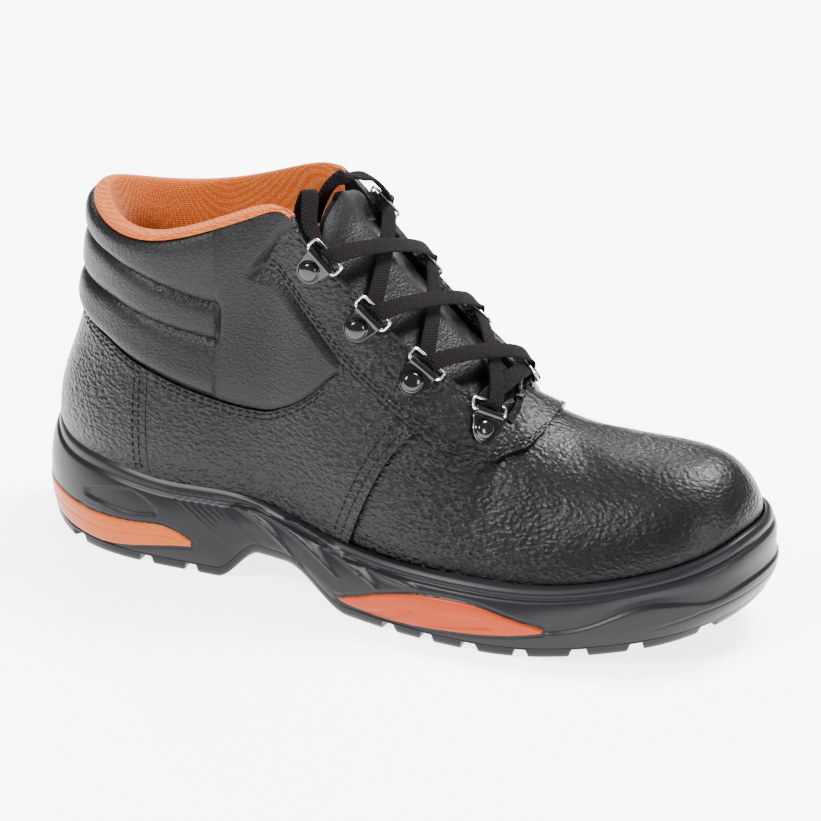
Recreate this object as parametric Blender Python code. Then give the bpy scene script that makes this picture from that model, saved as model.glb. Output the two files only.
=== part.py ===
"""Right steel-toe safety ankle boot: black leather upper on a black cup sole with orange inserts.

+X points to the toe, +Y to the inner side of the right foot, +Z up; the floor is z = 0 and the
sole is centred on x = 0. Metres. The upper, the sole and every overlay read one pair of surface
functions: upper_surface(u, v) and sole_side(u, z), where u runs round the shoe from the toe tip
along the outer side to the heel and back along the inner side.
"""
import math

import bmesh
import bpy
import numpy as np
from mathutils import Matrix, Vector

MM = 0.001

# driving sizes of the shoe
LENGTH = 306 * MM
BALL_WIDTH = 110 * MM
HEEL_WIDTH = 86 * MM
TOE_HEIGHT = 71 * MM
INSTEP_HEIGHT = 84 * MM
COLLAR_HEIGHT = 143.5 * MM
COLLAR_WIDTH = 70 * MM
THROAT_GAP = 58 * MM
WALL = 2.4 * MM
LAST_INSET = 8 * MM
GAP = 0.4 * MM

# sole
RIM_HEIGHT = 50 * MM
SOLE_UNDERCUT = 3 * MM
RIM_INSET = 5 * MM
RIM_LIP = 1.2 * MM
HEEL_SEAT = 28 * MM
FOREFOOT_SEAT = 16 * MM
TOE_SPRING = 17 * MM
ARCH_RISE = 14.5 * MM
OUTSOLE = 4.5 * MM
LUG_DEPTH = 3 * MM
LUG_GROOVE = 5 * MM
TREAD_CHANNEL = 9 * MM
SEAM = 0.3 * MM
INSERT_DEPTH = 4.5 * MM
RIB_HEIGHT = 0.9 * MM
INSOLE = 4 * MM
INSOLE_CLEAR = 0.4 * MM

# padded collar, overlays and tongue
PAD = 5.5 * MM
PAD_EDGE = 1.6 * MM
PAD_RIM = 2.6 * MM
PAD_GROOVE = 2.6 * MM
LINING_PAD = 5 * MM
LINING_EDGE = 1.5 * MM
PAD_FLAT = 3.2 * MM
EYESTAY = 1.5 * MM
PANEL = 1.1 * MM
PANEL_GAP = 0.8 * MM
EYESTAY_GAP = 0.9 * MM
PANEL_FOOT = 1.2 * MM
SEAM_SHARE = 0.010
TONGUE = 4 * MM
TONGUE_BULGE = 6 * MM

# lace hardware and lace
CLIP_RADIUS = 5.2 * MM
CLIP_PLATE = 0.9 * MM
CLIP_GAP = 0.85 * MM
CLIP_SEARCH = 0.9
CLIP_LOOP = 6.4 * MM
BARREL_OUTER = 2.3 * MM
BARREL_INNER = 1.35 * MM
RIVET_RADIUS = 3.2 * MM
RIVET_HEIGHT = 2 * MM
RING_WIRE = 1.8 * MM
RING_WIDTH = 15 * MM
RING_LENGTH = 8.5 * MM
RING_LEAN = 0.7
LACE_WIDTH = 6.5 * MM
LACE = 1.8 * MM
LACE_END = 2.4 * MM
LACE_CLEAR = 0.85 * MM
LACE_APART = 3.5 * MM
LACE_ARCH = 4 * MM

# perimeter stations: share of length, outer and inner half width as shares of the sole's width,
# row of TOP_LINE that the wall rises to, vault (1 arched over, 0 upright), squareness of the
# vault, bulge and hollow of the wall as shares of the heel width, rim as a share of its height
STATIONS = (
    # name          along  outer  inner   top   vault square bulge hollow rim
    ("toe tip",     1.000, 0.030, 0.030, 0.00, 1.00, 2.80, 0.020, 0.000, 1.00),
    ("toe bend",    0.985, -0.155, 0.190, 0.10, 1.00, 2.80, 0.020, 0.000, 0.98),
    ("toe corner",  0.955, -0.285, 0.300, 0.28, 1.00, 2.65, 0.020, 0.000, 0.90),
    ("toe side",    0.907, -0.390, 0.385, 0.60, 1.00, 2.40, 0.015, 0.000, 0.80),
    ("vamp",        0.833, -0.475, 0.440, 1.10, 1.00, 2.05, 0.010, 0.000, 0.68),
    ("ball",        0.745, -0.535, 0.455, 1.90, 1.00, 1.85, 0.000, 0.000, 0.59),
    ("instep",      0.647, -0.555, 0.427, 3.25, 0.90, 1.80, 0.000, 0.000, 0.57),
    ("waist front", 0.539, -0.548, 0.374, 4.90, 0.60, 1.90, 0.020, 0.000, 0.57),
    ("waist",       0.431, -0.510, 0.334, 5.70, 0.35, 2.00, 0.030, 0.010, 0.62),
    ("waist rear",  0.325, -0.490, 0.390, 7.10, 0.15, 2.00, 0.040, 0.020, 0.75),
    ("heel front",  0.218, -0.510, 0.450, 8.00, 0.05, 2.00, 0.050, 0.020, 0.75),
    ("heel side",   0.122, -0.475, 0.440, 8.75, 0.00, 2.00, 0.055, 0.010, 0.82),
    ("heel corner", 0.048, -0.335, 0.325, 9.30, 0.00, 2.00, 0.055, 0.000, 0.85),
    ("heel bend",   0.010, -0.163, 0.165, 9.70, 0.00, 2.00, 0.055, 0.000, 0.94),
    ("heel back",   0.000, 0.000, 0.000, 10.00, 0.00, 2.00, 0.055, 0.000, 0.99),
)
ALONG, OUTER, INNER, TOP, VAULT, SQUARE, BULGE, HOLLOW, RIM = range(1, 10)
HALF = len(STATIONS) - 1
ROUND = 2 * HALF
# grid columns between one station and the next
STATION_STEPS = (2, 2, 2, 2, 2, 4, 3, 3, 3, 2, 3, 3, 2, 2)

# crown of the toe and vamp, throat edge and collar edge: share of length, half gap as shares of
# the throat and collar widths, height as shares of the toe, instep and collar heights
TOP_LINE = (
    # name            along  throat collar toe   instep collar
    ("toe crown",     0.875, 0.00, 0.00, 1.00, 0.00, 0.00),
    ("vamp crown",    0.790, 0.00, 0.00, 0.65, 0.31, 0.00),
    ("vamp front",    0.710, 0.00, 0.00, 0.30, 0.66, 0.00),
    ("throat front",  0.656, 0.00, 0.00, 0.00, 1.00, 0.00),
    ("throat curve",  0.634, 0.32, 0.00, 0.00, 1.03, 0.00),
    ("throat middle", 0.522, 0.48, 0.00, 0.00, 0.60, 0.415),
    ("throat top",    0.394, 0.53, 0.00, 0.00, 0.00, 1.025),
    ("collar front",  0.334, 0.00, 0.41, 0.00, 0.00, 1.07),
    ("collar side",   0.206, 0.00, 0.50, 0.00, 0.00, 0.967),
    ("collar rear",   0.100, 0.00, 0.30, 0.00, 0.00, 0.967),
    ("collar back",   0.064, 0.00, 0.00, 0.00, 0.00, 1.00),
)
THROAT_ROW = 3
CROWN_LEAN = 0.03

# outer edge of the eyestay, from the crown in front of the throat to its rear corner
EYESTAY_EDGE = (
    # place u, height v
    (5.20, 1.000),
    (5.27, 0.820),
    (5.46, 0.680),
    (5.92, 0.580),
    (6.46, 0.612),
    (6.96, 0.602),
    (7.45, 0.625),
    (7.84, 0.650),
    (8.38, 0.730),
    (8.90, 0.810),
)
EYESTAY_PLACES = (5.212, 5.235, 5.27, 5.34, 5.5, 5.65)
EYESTAY_REAR = (7.84, 8.36, 8.5, 8.7, 8.86)

# lower seam of the padded collar: place u, height v on the upper
COLLAR_SEAM = (
    (7.80, 0.640),
    (7.94, 0.547),
    (8.28, 0.410),
    (8.70, 0.350),
    (9.10, 0.367),
    (9.60, 0.423),
    (10.24, 0.503),
    (10.98, 0.570),
    (12.40, 0.600),
    (14.00, 0.610),
)
COLLAR_FRONT = 8.36
COLLAR_CORNER = 8.93
COLLAR_BREAK = 0.14
PUFF_FRONT = 9.34
COUNTER_FRONT = 10.24
# grooves between the three puffs: place u, heights v of the lower and the upper groove
PUFF_ROWS = (
    (8.93, 0.580, 0.720),
    (9.34, 0.587, 0.710),
    (9.94, 0.663, 0.815),
    (10.30, 0.705, 0.870),
    (10.84, 0.743, 0.903),
    (12.40, 0.727, 0.893),
    (14.00, 0.730, 0.900),
)
GROOVE_SHARE = 0.022
# columns of the collar, the counter and the quarters' upper edge on the outer side
COLLAR_PLACES = (7.90, 8.0, 8.25, 8.5, 8.70, 8.93, 9.12, 9.29, 9.39, 9.5, 10.0, 10.333, 10.667, 11.0,
                 11.333, 11.667, 12.0, 12.5, 13.0, 13.5, 14.0)
COUNTER_PLACES = (10.26, 10.333, 10.667, 11.0, 11.333, 11.667, 12.0, 12.5, 13.0, 13.5, 14.0)
QUARTER_TOP = (6.88, 7.15, 7.45, 7.80, 7.90, 8.0, 8.25, 8.5, 8.70, 8.93, 9.12, 9.5, 10.0, 10.22)
QUARTER_FOOT = 7.58
PANEL_ROWS = 6
EYESTAY_ROWS = 6
# rim of the lining, outside to inside: out, rise, and the same two for its underside, mm
RIM_SECTION = (
    # out  rise  under out, under rise
    (3.0, 0.55, 1.2, 0.55),
    (2.6, 1.9, 0.5, 0.8),
    (0.9, 3.0, -0.3, 0.8),
    (-1.6, 3.3, -1.6, 0.8),
    (-4.4, 2.4, -2.9, 0.4),
)
# rows down the inside: drop below the rim, mm, and share of the padding
LINING_ROWS = ((5.0, 0.6), (12.0, 1.0), (22.0, 1.0), (31.0, 0.1))

# tongue: place u and lowest v of a section; then reach past the throat, mm, and share of the width
TONGUE_PLACES = ((5.00, 0.62), (5.50, 0.64), (5.83, 0.68), (6.167, 0.76), (6.5, 0.80), (7.0, 0.84),
                 (7.5, 0.87), (8.0, 0.88))
TONGUE_END = ((5.0, 0.86), (10.0, 0.76), (16.0, 0.70), (21.0, 0.58), (25.0, 0.38))
TONGUE_ACROSS = 11
TONGUE_NOD = 0.05
TONGUE_CLEAR = 1.9 * MM
TONGUE_EDGE = 0.935
THROAT_SLOPE = np.array([-0.786, 0.0, 0.618])
THROAT_NORMAL = np.array([0.618, 0.0, 0.786])

# wavy step in the sole's side: place u, share of the height between floor and rim
WAVE = (
    (0.00, 0.47),
    (1.32, 0.47),
    (2.20, 0.44),
    (3.00, 0.59),
    (3.54, 0.66),
    (3.96, 0.56),
    (4.40, 0.42),
    (5.00, 0.40),
    (14.0, 0.44),
)
WAVE_STEP = 1.2 * MM
# groove under the rim: share of the height, depth mm
RIM_ROWS = ((0.84, 0.0), (0.87, 0.8), (0.91, 0.0))
CUP_ROWS = (0.72, 0.45, 0.2)
HEEL_RECESS = (
    (10.12, 23.6, 26.0),
    (10.45, 22.0, 31.0),
    (10.86, 22.6, 30.2),
    (11.30, 23.8, 26.6),
)
RECESS_DEPTH = 1.0 * MM
INSERT_SINK = 0.3 * MM
END_SHARE = 0.016
# channels along the tread: start and end as shares of length, place across as a share of width
TREAD_CHANNELS = ((0.10, 0.26, 0.0), (0.545, 0.66, 0.0))
INSOLE_STEPS = (2, 2, 1, 1, 1, 1, 2, 2, 2, 2, 2, 1, 1, 1)

# orange inserts in the side of the sole: place u, lower and upper edge above the floor
HEEL_INSERT = (
    # u, low mm, top mm
    (9.62, 12.2, 14.8),
    (9.80, 11.4, 18.0),
    (10.04, 10.0, 19.8),
    (10.40, 7.6, 19.0),
    (10.86, 5.2, 18.3),
    (11.30, 5.0, 18.4),
    (12.00, 6.0, 19.4),
    (12.50, 7.8, 19.8),
    (13.00, 9.4, 20.2),
    (14.00, 10.6, 20.6),
)
FOREFOOT_INSERT = (
    (4.90, 13.2, 15.0),
    (5.10, 11.8, 16.6),
    (5.30, 10.5, 17.8),
    (5.72, 8.7, 20.4),
    (6.12, 7.4, 21.1),
    (6.62, 6.0, 19.8),
    (7.10, 5.8, 15.4),
    (7.46, 6.3, 10.6),
    (7.58, 7.2, 9.0),
)
INSERTS = {
    "heel_insert": (HEEL_INSERT, False, True),
    "forefoot_insert_lateral": (FOREFOOT_INSERT, False, False),
    "forefoot_insert_medial": (FOREFOOT_INSERT, True, False),
}
# raised lines on the side of the waist: place u and height mm at start, middle and end, width
WAIST_LINES = (
    # u0, z0, u1, z1, u2, z2, width mm
    (8.85, 33.5, 8.28, 29.4, 7.62, 17.5, 2.2),
    (7.86, 26.8, 7.42, 23.8, 7.06, 18.0, 2.2),
    (7.22, 24.8, 6.92, 23.2, 6.60, 22.4, 2.0),
    (10.02, 32.6, 9.74, 30.2, 9.44, 26.3, 1.2),
    (9.80, 33.0, 9.54, 30.6, 9.26, 26.9, 1.2),
    (9.58, 33.4, 9.34, 31.0, 9.08, 27.5, 1.2),
)
# grooves across the tread: share of length, turn in degrees
LUG_GROOVES = (
    (0.085, 6), (0.190, -4), (0.255, -4), (0.545, 14), (0.600, 14), (0.660, 10), (0.727, 6),
    (0.800, 0), (0.860, -4),
)

# lace clips on the outer eyestay, toe to ankle: place u and v of the rivet
CLIPS = ((6.38, 0.765), (6.98, 0.800), (7.62, 0.840), (8.18, 0.895))

# loose lace ends behind the top rings: x from the heel, distance from the middle, z, mm
LACE_END_PATH = (
    (115.0, 21.0, 161.0),
    (106.0, 16.5, 162.0),
    (98.0, 14.0, 154.0),
    (94.0, 13.0, 141.0),
)

def smooth(a, b, x):
    """Soft step from 0 at a to 1 at b."""
    s = np.clip((x - a) / (b - a), 0.0, 1.0)
    return s * s * (3.0 - 2.0 * s)


def spline_slopes(values, closed):
    """Slopes that give a cubic spline through evenly spaced rows an even curvature."""
    n = len(values)
    system = np.zeros((n, n))
    right = np.zeros(values.shape)
    for k in range(n):
        if closed or 0 < k < n - 1:
            system[k, (k - 1) % n], system[k, k], system[k, (k + 1) % n] = 1.0, 4.0, 1.0
            right[k] = 3.0 * (values[(k + 1) % n] - values[(k - 1) % n])
    if not closed:
        system[0, 0], system[0, 1] = 2.0, 1.0
        right[0] = 3.0 * (values[1] - values[0])
        system[-1, -1], system[-1, -2] = 2.0, 1.0
        right[-1] = 3.0 * (values[-1] - values[-2])
    return np.linalg.solve(system, right)


def spline(values, at, closed=False):
    """Cubic spline through the rows of values, read at the row numbers in at."""
    values = np.asarray(values, float)
    n = len(values)
    slopes = spline_slopes(values, closed)
    at = np.asarray(at, float)
    at = np.mod(at, n) if closed else np.clip(at, 0.0, n - 1.0)
    row = np.minimum(np.floor(at).astype(int), n - 1 if closed else n - 2)
    s = at - row
    following = (row + 1) % n
    if values.ndim > 1:
        s = s[..., None]
    return (values[row] * (1 - s) ** 2 * (1 + 2 * s) + values[following] * s ** 2 * (3 - 2 * s)
            + slopes[row] * s * (1 - s) ** 2 - slopes[following] * s ** 2 * (1 - s))


def station(k, u):
    """A column of STATIONS read smoothly round the perimeter, alike on both sides."""
    values = np.array([row[k] for row in STATIONS], float)
    return spline(np.concatenate([values, values[-2:0:-1]]), u, closed=True)


def fold(u):
    """The place on the outer side that lies opposite or at u."""
    u = np.mod(u, ROUND)
    return np.where(u > HALF, ROUND - u, u)


def along(x):
    """Share of the length from the heel."""
    return x / LENGTH + 0.5


def sole_width(t):
    """Width that the outline's shares are taken from, heel to ball."""
    return HEEL_WIDTH + (BALL_WIDTH - HEEL_WIDTH) * smooth(0.22, 0.66, t)


def outline(u):
    """Plan of the sole's widest line."""
    rows = np.array([row[1:4] for row in STATIONS], float)
    width = sole_width(rows[:, 0])
    x = (np.concatenate([rows[:, 0], rows[-2:0:-1, 0]]) - 0.5) * LENGTH
    y = np.concatenate([rows[:, 1] * width, (rows[:, 2] * width)[-2:0:-1]])
    return spline(np.stack([x, y], axis=-1), u, closed=True)


def outward(u):
    """Level unit vector square to the outline, pointing out of the shoe."""
    step = 1e-3
    d = outline(u + step) - outline(u - step)
    n = np.stack([d[..., 1], -d[..., 0]], axis=-1)
    return -n / np.linalg.norm(n, axis=-1, keepdims=True)


def floor_height(t):
    """Underside of the sole: heel on the floor, arch, forefoot on the floor, toe spring."""
    arch = ARCH_RISE * smooth(0.29, 0.35, t) * (1.0 - smooth(0.39, 0.485, t))
    spring = TOE_SPRING * np.clip((t - 0.68) / 0.32, 0.0, 1.0) ** 1.6
    heel = 0.3 * TOE_SPRING * np.clip((0.07 - t) / 0.07, 0.0, 1.0) ** 1.6
    return arch + spring + heel


def seat_height(t):
    """Height that the foot stands at, without the insole."""
    spring = TOE_SPRING * np.clip((t - 0.66) / 0.34, 0.0, 1.0) ** 1.6
    return HEEL_SEAT + (FOREFOOT_SEAT - HEEL_SEAT) * smooth(0.22, 0.62, t) + spring


def top_place(u):
    """Row of TOP_LINE over place u."""
    rows = spline(np.array([row[TOP] for row in STATIONS], float), fold(u))
    return np.clip(rows, 0.0, len(TOP_LINE) - 1.0)


def top_line(u):
    """Crown, throat edge and collar edge over place u."""
    rows = np.array([row[1:] for row in TOP_LINE], float)
    x = (rows[:, 0] - 0.5) * LENGTH
    y = rows[:, 1] * THROAT_GAP + rows[:, 2] * COLLAR_WIDTH
    z = rows[:, 3] * TOE_HEIGHT + rows[:, 4] * INSTEP_HEIGHT + rows[:, 5] * COLLAR_HEIGHT
    place = top_place(u)
    line = np.stack([x, y, z], axis=-1)
    beyond = line[[-2, -3]] * np.array([1.0, -1.0, 1.0])
    p = spline(np.concatenate([line, beyond]), place)
    side = np.where(np.mod(u, ROUND) > HALF, 1.0, -1.0)
    p[..., 1] = np.where(place <= THROAT_ROW, 0.0, np.maximum(p[..., 1], 0.0)) * side
    p[..., 1] += CROWN_LEAN * BALL_WIDTH * smooth(0.6, 0.9, along(p[..., 0]))
    return p


def foot_line(u, inset=LAST_INSET):
    """Lower edge of the upper, on the board inside the sole."""
    p = outline(u) - outward(u) * inset
    return np.stack([p[..., 0], p[..., 1], seat_height(along(p[..., 0]))], axis=-1)


def bump(v, centre, width):
    """Smooth hill over v that is nothing at both ends of the wall."""
    ends = np.clip(6 * v, 0, 1) * np.clip(6 * (1 - v), 0, 1)
    return np.exp(-((v - centre) / width) ** 2) * ends


def upper_surface(u, v):
    """Outer face of the upper: v runs from the board up to the top line."""
    u, v = np.broadcast_arrays(np.asarray(u, float), np.asarray(v, float))
    foot, top = foot_line(u), top_line(u)
    vault, power = station(VAULT, u), 2.0 / station(SQUARE, u)
    angle = np.clip(v, 0.0, 1.0) * np.pi / 2
    inward = vault * (1 - np.cos(angle) ** power) + (1 - vault) * smooth(-0.1, 1.0, v)
    rise = vault * np.sin(angle) ** power + (1 - vault) * v
    swell = station(BULGE, u) * bump(v, 0.26, 0.22) - station(HOLLOW, u) * bump(v, 0.66, 0.2)
    level = foot[..., :2] + (top - foot)[..., :2] * inward[..., None]
    level = level + outward(u) * (HEEL_WIDTH * swell)[..., None]
    height = foot[..., 2] + (top - foot)[..., 2] * rise
    return np.concatenate([level, height[..., None]], axis=-1)


def rim_height(u):
    """Top of the sole's rim above the floor."""
    return RIM_HEIGHT * station(RIM, u)


def sole_side(u, z):
    """Outer side of the sole at height z: undercut at the floor, leaning in to the rim."""
    u, z = np.broadcast_arrays(np.asarray(u, float), np.asarray(z, float))
    p = outline(u)
    t = along(p[..., 0])
    low, top = floor_height(t), rim_height(u)
    h = np.clip((z - low) / (top - low), 0.0, 1.0)
    inset = SOLE_UNDERCUT * (1 + 0.9 * smooth(0.86, 1.0, t)) * np.clip(1 - h / 0.4, 0, 1) ** 1.7
    inset = inset + RIM_INSET * np.clip((h - 0.5) / 0.5, 0, 1) ** 2
    q = p - outward(u) * inset[..., None]
    return np.concatenate([q, z[..., None]], axis=-1)


def place_at_height(u, z):
    """Height place v at which the upper's outer face reaches z, one for each place u."""
    u, z = np.broadcast_arrays(np.asarray(u, float), np.asarray(z, float))
    levels = np.linspace(0.0, 1.0, 101)
    heights = upper_surface(u.reshape(-1, 1), levels[None, :])[..., 2]
    found = [np.interp(level, row, levels) for level, row in zip(z.ravel(), heights)]
    return np.array(found).reshape(u.shape)


def surface_normal(u, v):
    """Unit normal out of the upper, shared by both halves on the crown."""
    u, v = np.broadcast_arrays(np.asarray(u, float), np.asarray(v, float))

    def normal(place):
        step, inner = 1e-3, np.clip(v, 0.01, 0.985)
        across = upper_surface(place + step, inner) - upper_surface(place - step, inner)
        up = upper_surface(place, inner + step) - upper_surface(place, inner - step)
        n = np.cross(up, across)
        return n / np.linalg.norm(n, axis=-1, keepdims=True)

    share = 0.5 * smooth(0.85, 1.0, v) * (fold(u) <= THROAT_FRONT + 1e-6)
    n = normal(u) * (1 - share)[..., None] + normal(ROUND - u) * share[..., None]
    return n / np.linalg.norm(n, axis=-1, keepdims=True)


def over_upper(u, v, distance):
    """Point at a distance out of the upper's outer face."""
    return upper_surface(u, v) + surface_normal(u, v) * np.asarray(distance)[..., None]


def throat_front():
    """Place u at which the top line opens into the throat."""
    places = np.linspace(4.0, 8.0, 4001)
    return float(np.interp(THROAT_ROW, top_place(places), places))


def round_places(steps):
    """Places round the shoe, alike on both sides, with the throat's front among them."""
    half = []
    for k, count in enumerate(steps):
        half.extend(k + np.arange(count) / count)
    half = np.array(half + [float(HALF)])
    half[np.argmin(np.abs(half - THROAT_FRONT))] = THROAT_FRONT
    return np.concatenate([half, ROUND - half[-2:0:-1]])


def both_sides(places):
    """Places of the outer side up to the heel back, followed by their mirrors."""
    places = np.asarray(places, float)
    return np.concatenate([places, ROUND - places[-2::-1]])


THROAT_FRONT = throat_front()


# meshes

def add_mesh(name, points, faces, material, home):
    """Object from points and faces with its normals turned outwards."""
    mesh = bpy.data.meshes.new(name)
    mesh.from_pydata([tuple(p) for p in points], [], [list(f) for f in faces])
    work = bmesh.new()
    work.from_mesh(mesh)
    bmesh.ops.remove_doubles(work, verts=work.verts, dist=1e-6)
    bmesh.ops.recalc_face_normals(work, faces=work.faces)
    work.to_mesh(mesh)
    work.free()
    obj = bpy.data.objects.new(name, mesh)
    if material is not None:
        mesh.materials.append(material)
    home.objects.link(obj)
    return obj


def shell(outer, inner, keep=None, wrap=False):
    """Closed skin between two grids of points; keep marks the cells that exist."""
    rows, columns = outer.shape[:2]
    flat = outer.reshape(-1, 3)
    weld, first = {}, []
    for k, p in enumerate(np.round(flat, 7)):
        first.append(weld.setdefault(tuple(p), k))
    count = len(flat)
    sheet = []
    for j in range(rows - 1):
        for i in range(columns if wrap else columns - 1):
            if keep is not None and not keep[j, i]:
                continue
            n = (i + 1) % columns
            ring = [first[j * columns + i], first[j * columns + n],
                    first[(j + 1) * columns + n], first[(j + 1) * columns + i]]
            ring = [p for k, p in enumerate(ring) if p != ring[k - 1]]
            if len(set(ring)) > 2:
                sheet.append(ring)
    edges = {}
    for ring in sheet:
        for k, a in enumerate(ring):
            b = ring[(k + 1) % len(ring)]
            key = (min(a, b), max(a, b))
            edges.setdefault(key, []).append((a, b))
    faces = list(sheet) + [[p + count for p in reversed(ring)] for ring in sheet]
    for found in edges.values():
        if len(found) == 1:
            a, b = found[0]
            faces.append([b, a, a + count, b + count])
    points = np.concatenate([flat, inner.reshape(-1, 3)])
    used = sorted({p for ring in faces for p in ring})
    place = {p: k for k, p in enumerate(used)}
    return points[used], [[place[p] for p in ring] for ring in faces]


def ring_solid(rings):
    """Solid from rings round the shoe, closed by flat strips across the first and the last."""
    count = len(rings[0])
    faces = []
    for j in range(len(rings) - 1):
        for i in range(count):
            n = (i + 1) % count
            faces.append([j * count + i, j * count + n, (j + 1) * count + n, (j + 1) * count + i])
    for base in (0, (len(rings) - 1) * count):
        for i in range(count // 2):
            a, b = i, i + 1
            c, d = (count - b) % count, (count - a) % count
            ring = [base + a, base + b, base + c, base + d]
            ring = [p for k, p in enumerate(ring) if p != ring[k - 1]]
            faces.append(ring)
    return np.concatenate(rings), faces


def tube(path, radius, sides, closed, lift):
    """Tube round a path whose cross sections stand up along lift."""
    path = np.asarray(path, float)
    count = len(path)
    points, faces = [], []
    for k in range(count):
        before = path[k - 1] if closed or k else path[k]
        after = path[(k + 1) % count] if closed or k < count - 1 else path[k]
        forward = (after - before) / np.linalg.norm(after - before)
        across = np.cross(forward, lift)
        across = across / np.linalg.norm(across)
        up = np.cross(across, forward)
        for s in range(sides):
            angle = 2 * np.pi * (s + 0.5) / sides
            points.append(path[k] + radius * (across * np.cos(angle) + up * np.sin(angle)))
    for k in range(count if closed else count - 1):
        a, b = k * sides, ((k + 1) % count) * sides
        for s in range(sides):
            n = (s + 1) % sides
            faces.append([a + s, a + n, b + n, b + s])
    if not closed:
        faces.append(list(range(sides)))
        faces.append([(count - 1) * sides + s for s in reversed(range(sides))])
    return np.array(points), faces


def boolean(target, cutter, operation):
    modifier = target.modifiers.new(cutter.name, "BOOLEAN")
    modifier.operation = operation
    modifier.solver = "EXACT"
    modifier.object = cutter


# upper and the panels over it

UPPER_ROWS = (0.0, 0.09, 0.19, 0.30, 0.42, 0.55, 0.68, 0.80, 0.90, 1.0)


def build_upper(skins, home):
    u = round_places(STATION_STEPS)[None, :]
    v = np.array(UPPER_ROWS)[:, None]
    points, faces = shell(over_upper(u, v, 0.0), over_upper(u, v, -WALL), wrap=True)
    return add_mesh("upper", points, faces, skins["leather"], home)


def eyestay_edge(u):
    """Height place of the eyestay's outer edge over place u, and of its top edge behind it."""
    rows = np.array(EYESTAY_EDGE)
    return np.interp(u, rows[:, 0], rows[:, 1])


def build_eyestay(skins, home):
    middle = [p for p in round_places(STATION_STEPS) if THROAT_FRONT - 1e-6 < p < EYESTAY_REAR[1] - 0.02]
    u = np.array(sorted(set(EYESTAY_PLACES) | set(middle) | set(EYESTAY_REAR)))
    top = np.array([eyestay_corner(place) for place in u])
    s = np.linspace(0.0, 1.0, EYESTAY_ROWS)[:, None]
    v = eyestay_edge(u) * (1 - s) + top * s
    u = np.broadcast_to(u, v.shape)
    points, faces = [], []
    for place in (u, ROUND - u):
        p, f = shell(over_upper(place, v, EYESTAY_GAP + EYESTAY), over_upper(place, v, EYESTAY_GAP))
        faces += [[k + len(points) for k in ring] for ring in f]
        points += list(p)
    return add_mesh("eyestay", points, drop_twins(points, faces), skins["leather"], home)


def drop_twins(points, faces):
    """Faces without the pairs that lie on one another between two welded halves."""
    key = [tuple(p) for p in np.round(np.array(points), 6)]
    seen = {}
    for ring in faces:
        seen.setdefault(frozenset(key[k] for k in ring), []).append(ring)
    return [found[0] for found in seen.values() if len(found) == 1]


def collar_seam(u):
    """Height place of the padded collar's lower seam."""
    rows = np.array(COLLAR_SEAM)
    return np.interp(fold(u), rows[:, 0], rows[:, 1])


def build_counter(skins, home):
    u = both_sides(COUNTER_PLACES)[None, :]
    low = place_at_height(u, rim_height(u) + PANEL_FOOT)
    top = collar_seam(u) - SEAM_SHARE
    s = np.linspace(0.0, 1.0, PANEL_ROWS)[:, None]
    v = low * (1 - s) + top * s
    points, faces = shell(over_upper(u, v, PANEL_GAP + PANEL), over_upper(u, v, PANEL_GAP))
    return add_mesh("heel_counter", points, faces, skins["leather"], home)


def build_quarter(name, mirror, skins, home):
    upper_u = np.array(QUARTER_TOP)
    s = (upper_u - upper_u[0]) / (upper_u[-1] - upper_u[0])
    lower_u = QUARTER_FOOT + (upper_u[-1] - QUARTER_FOOT) * s
    edge = np.where(upper_u < COLLAR_SEAM[0][0], eyestay_edge(upper_u), collar_seam(upper_u))
    top = np.minimum(edge, eyestay_edge(upper_u)) - SEAM_SHARE
    low = place_at_height(lower_u, rim_height(lower_u) + PANEL_FOOT)
    r = np.linspace(0.0, 1.0, PANEL_ROWS)[:, None]
    u = lower_u * (1 - r) + upper_u * r
    v = low * (1 - r) + top * r
    u = ROUND - u if mirror else u
    points, faces = shell(over_upper(u, v, PANEL_GAP + PANEL), over_upper(u, v, PANEL_GAP))
    return add_mesh(name, points, faces, skins["leather"], home)


# padded collar and lining

def collar_rows(u):
    """Height places of the collar's grid at place u, seam to rim, and the padding's depth there."""
    place = float(fold(u))
    table = np.array(PUFF_ROWS)
    low, high = (np.interp(place, table[:, 0], table[:, k]) for k in (1, 2))
    seam = float(collar_seam(place))
    puffed = float(smooth(PUFF_FRONT - 0.04, PUFF_FRONT + 0.06, place))
    flat = PAD_FLAT * float(smooth(7.8, 8.6, place)) + PAD_EDGE * (1 - float(smooth(7.8, 8.6, place)))
    full = PAD * (0.75 + 0.25 * float(smooth(11.0, 13.0, place)))
    if place < COLLAR_CORNER + 1e-6:
        below = float(eyestay_edge(place)) - SEAM_SHARE
        above = 1.0 - (1.0 - eyestay_corner(place)) + SEAM_SHARE
        v = np.concatenate([np.linspace(seam, below, 7), np.linspace(min(above, 0.985), 1.0, 5)])
    else:
        w = GROOVE_SHARE
        v = np.array([seam, seam + 0.3 * (low - seam), seam + 0.68 * (low - seam), low - w, low,
                      low + w, 0.5 * (low + high), high - w, high, high + w,
                      0.55 * high + 0.45, 1.0])
    groove = full - PAD_GROOVE
    puff = np.array([PAD_EDGE, full, full, full * 0.86, groove, full * 0.86, full,
                     full * 0.86, groove, full * 0.86, full * 0.9, PAD_RIM])
    plain = np.array([PAD_EDGE, flat * 0.8, flat, flat, flat, flat, flat * 0.9,
                      flat * 0.9, flat, flat, flat, PAD_RIM])
    return v, plain * (1 - puffed) + puff * puffed


def eyestay_corner(u):
    """Height place of the eyestay's top edge, from the rim down to its rear corner."""
    return float(np.interp(u, (COLLAR_FRONT, EYESTAY_EDGE[-1][0]), (1.0, EYESTAY_EDGE[-1][1])))


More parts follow.
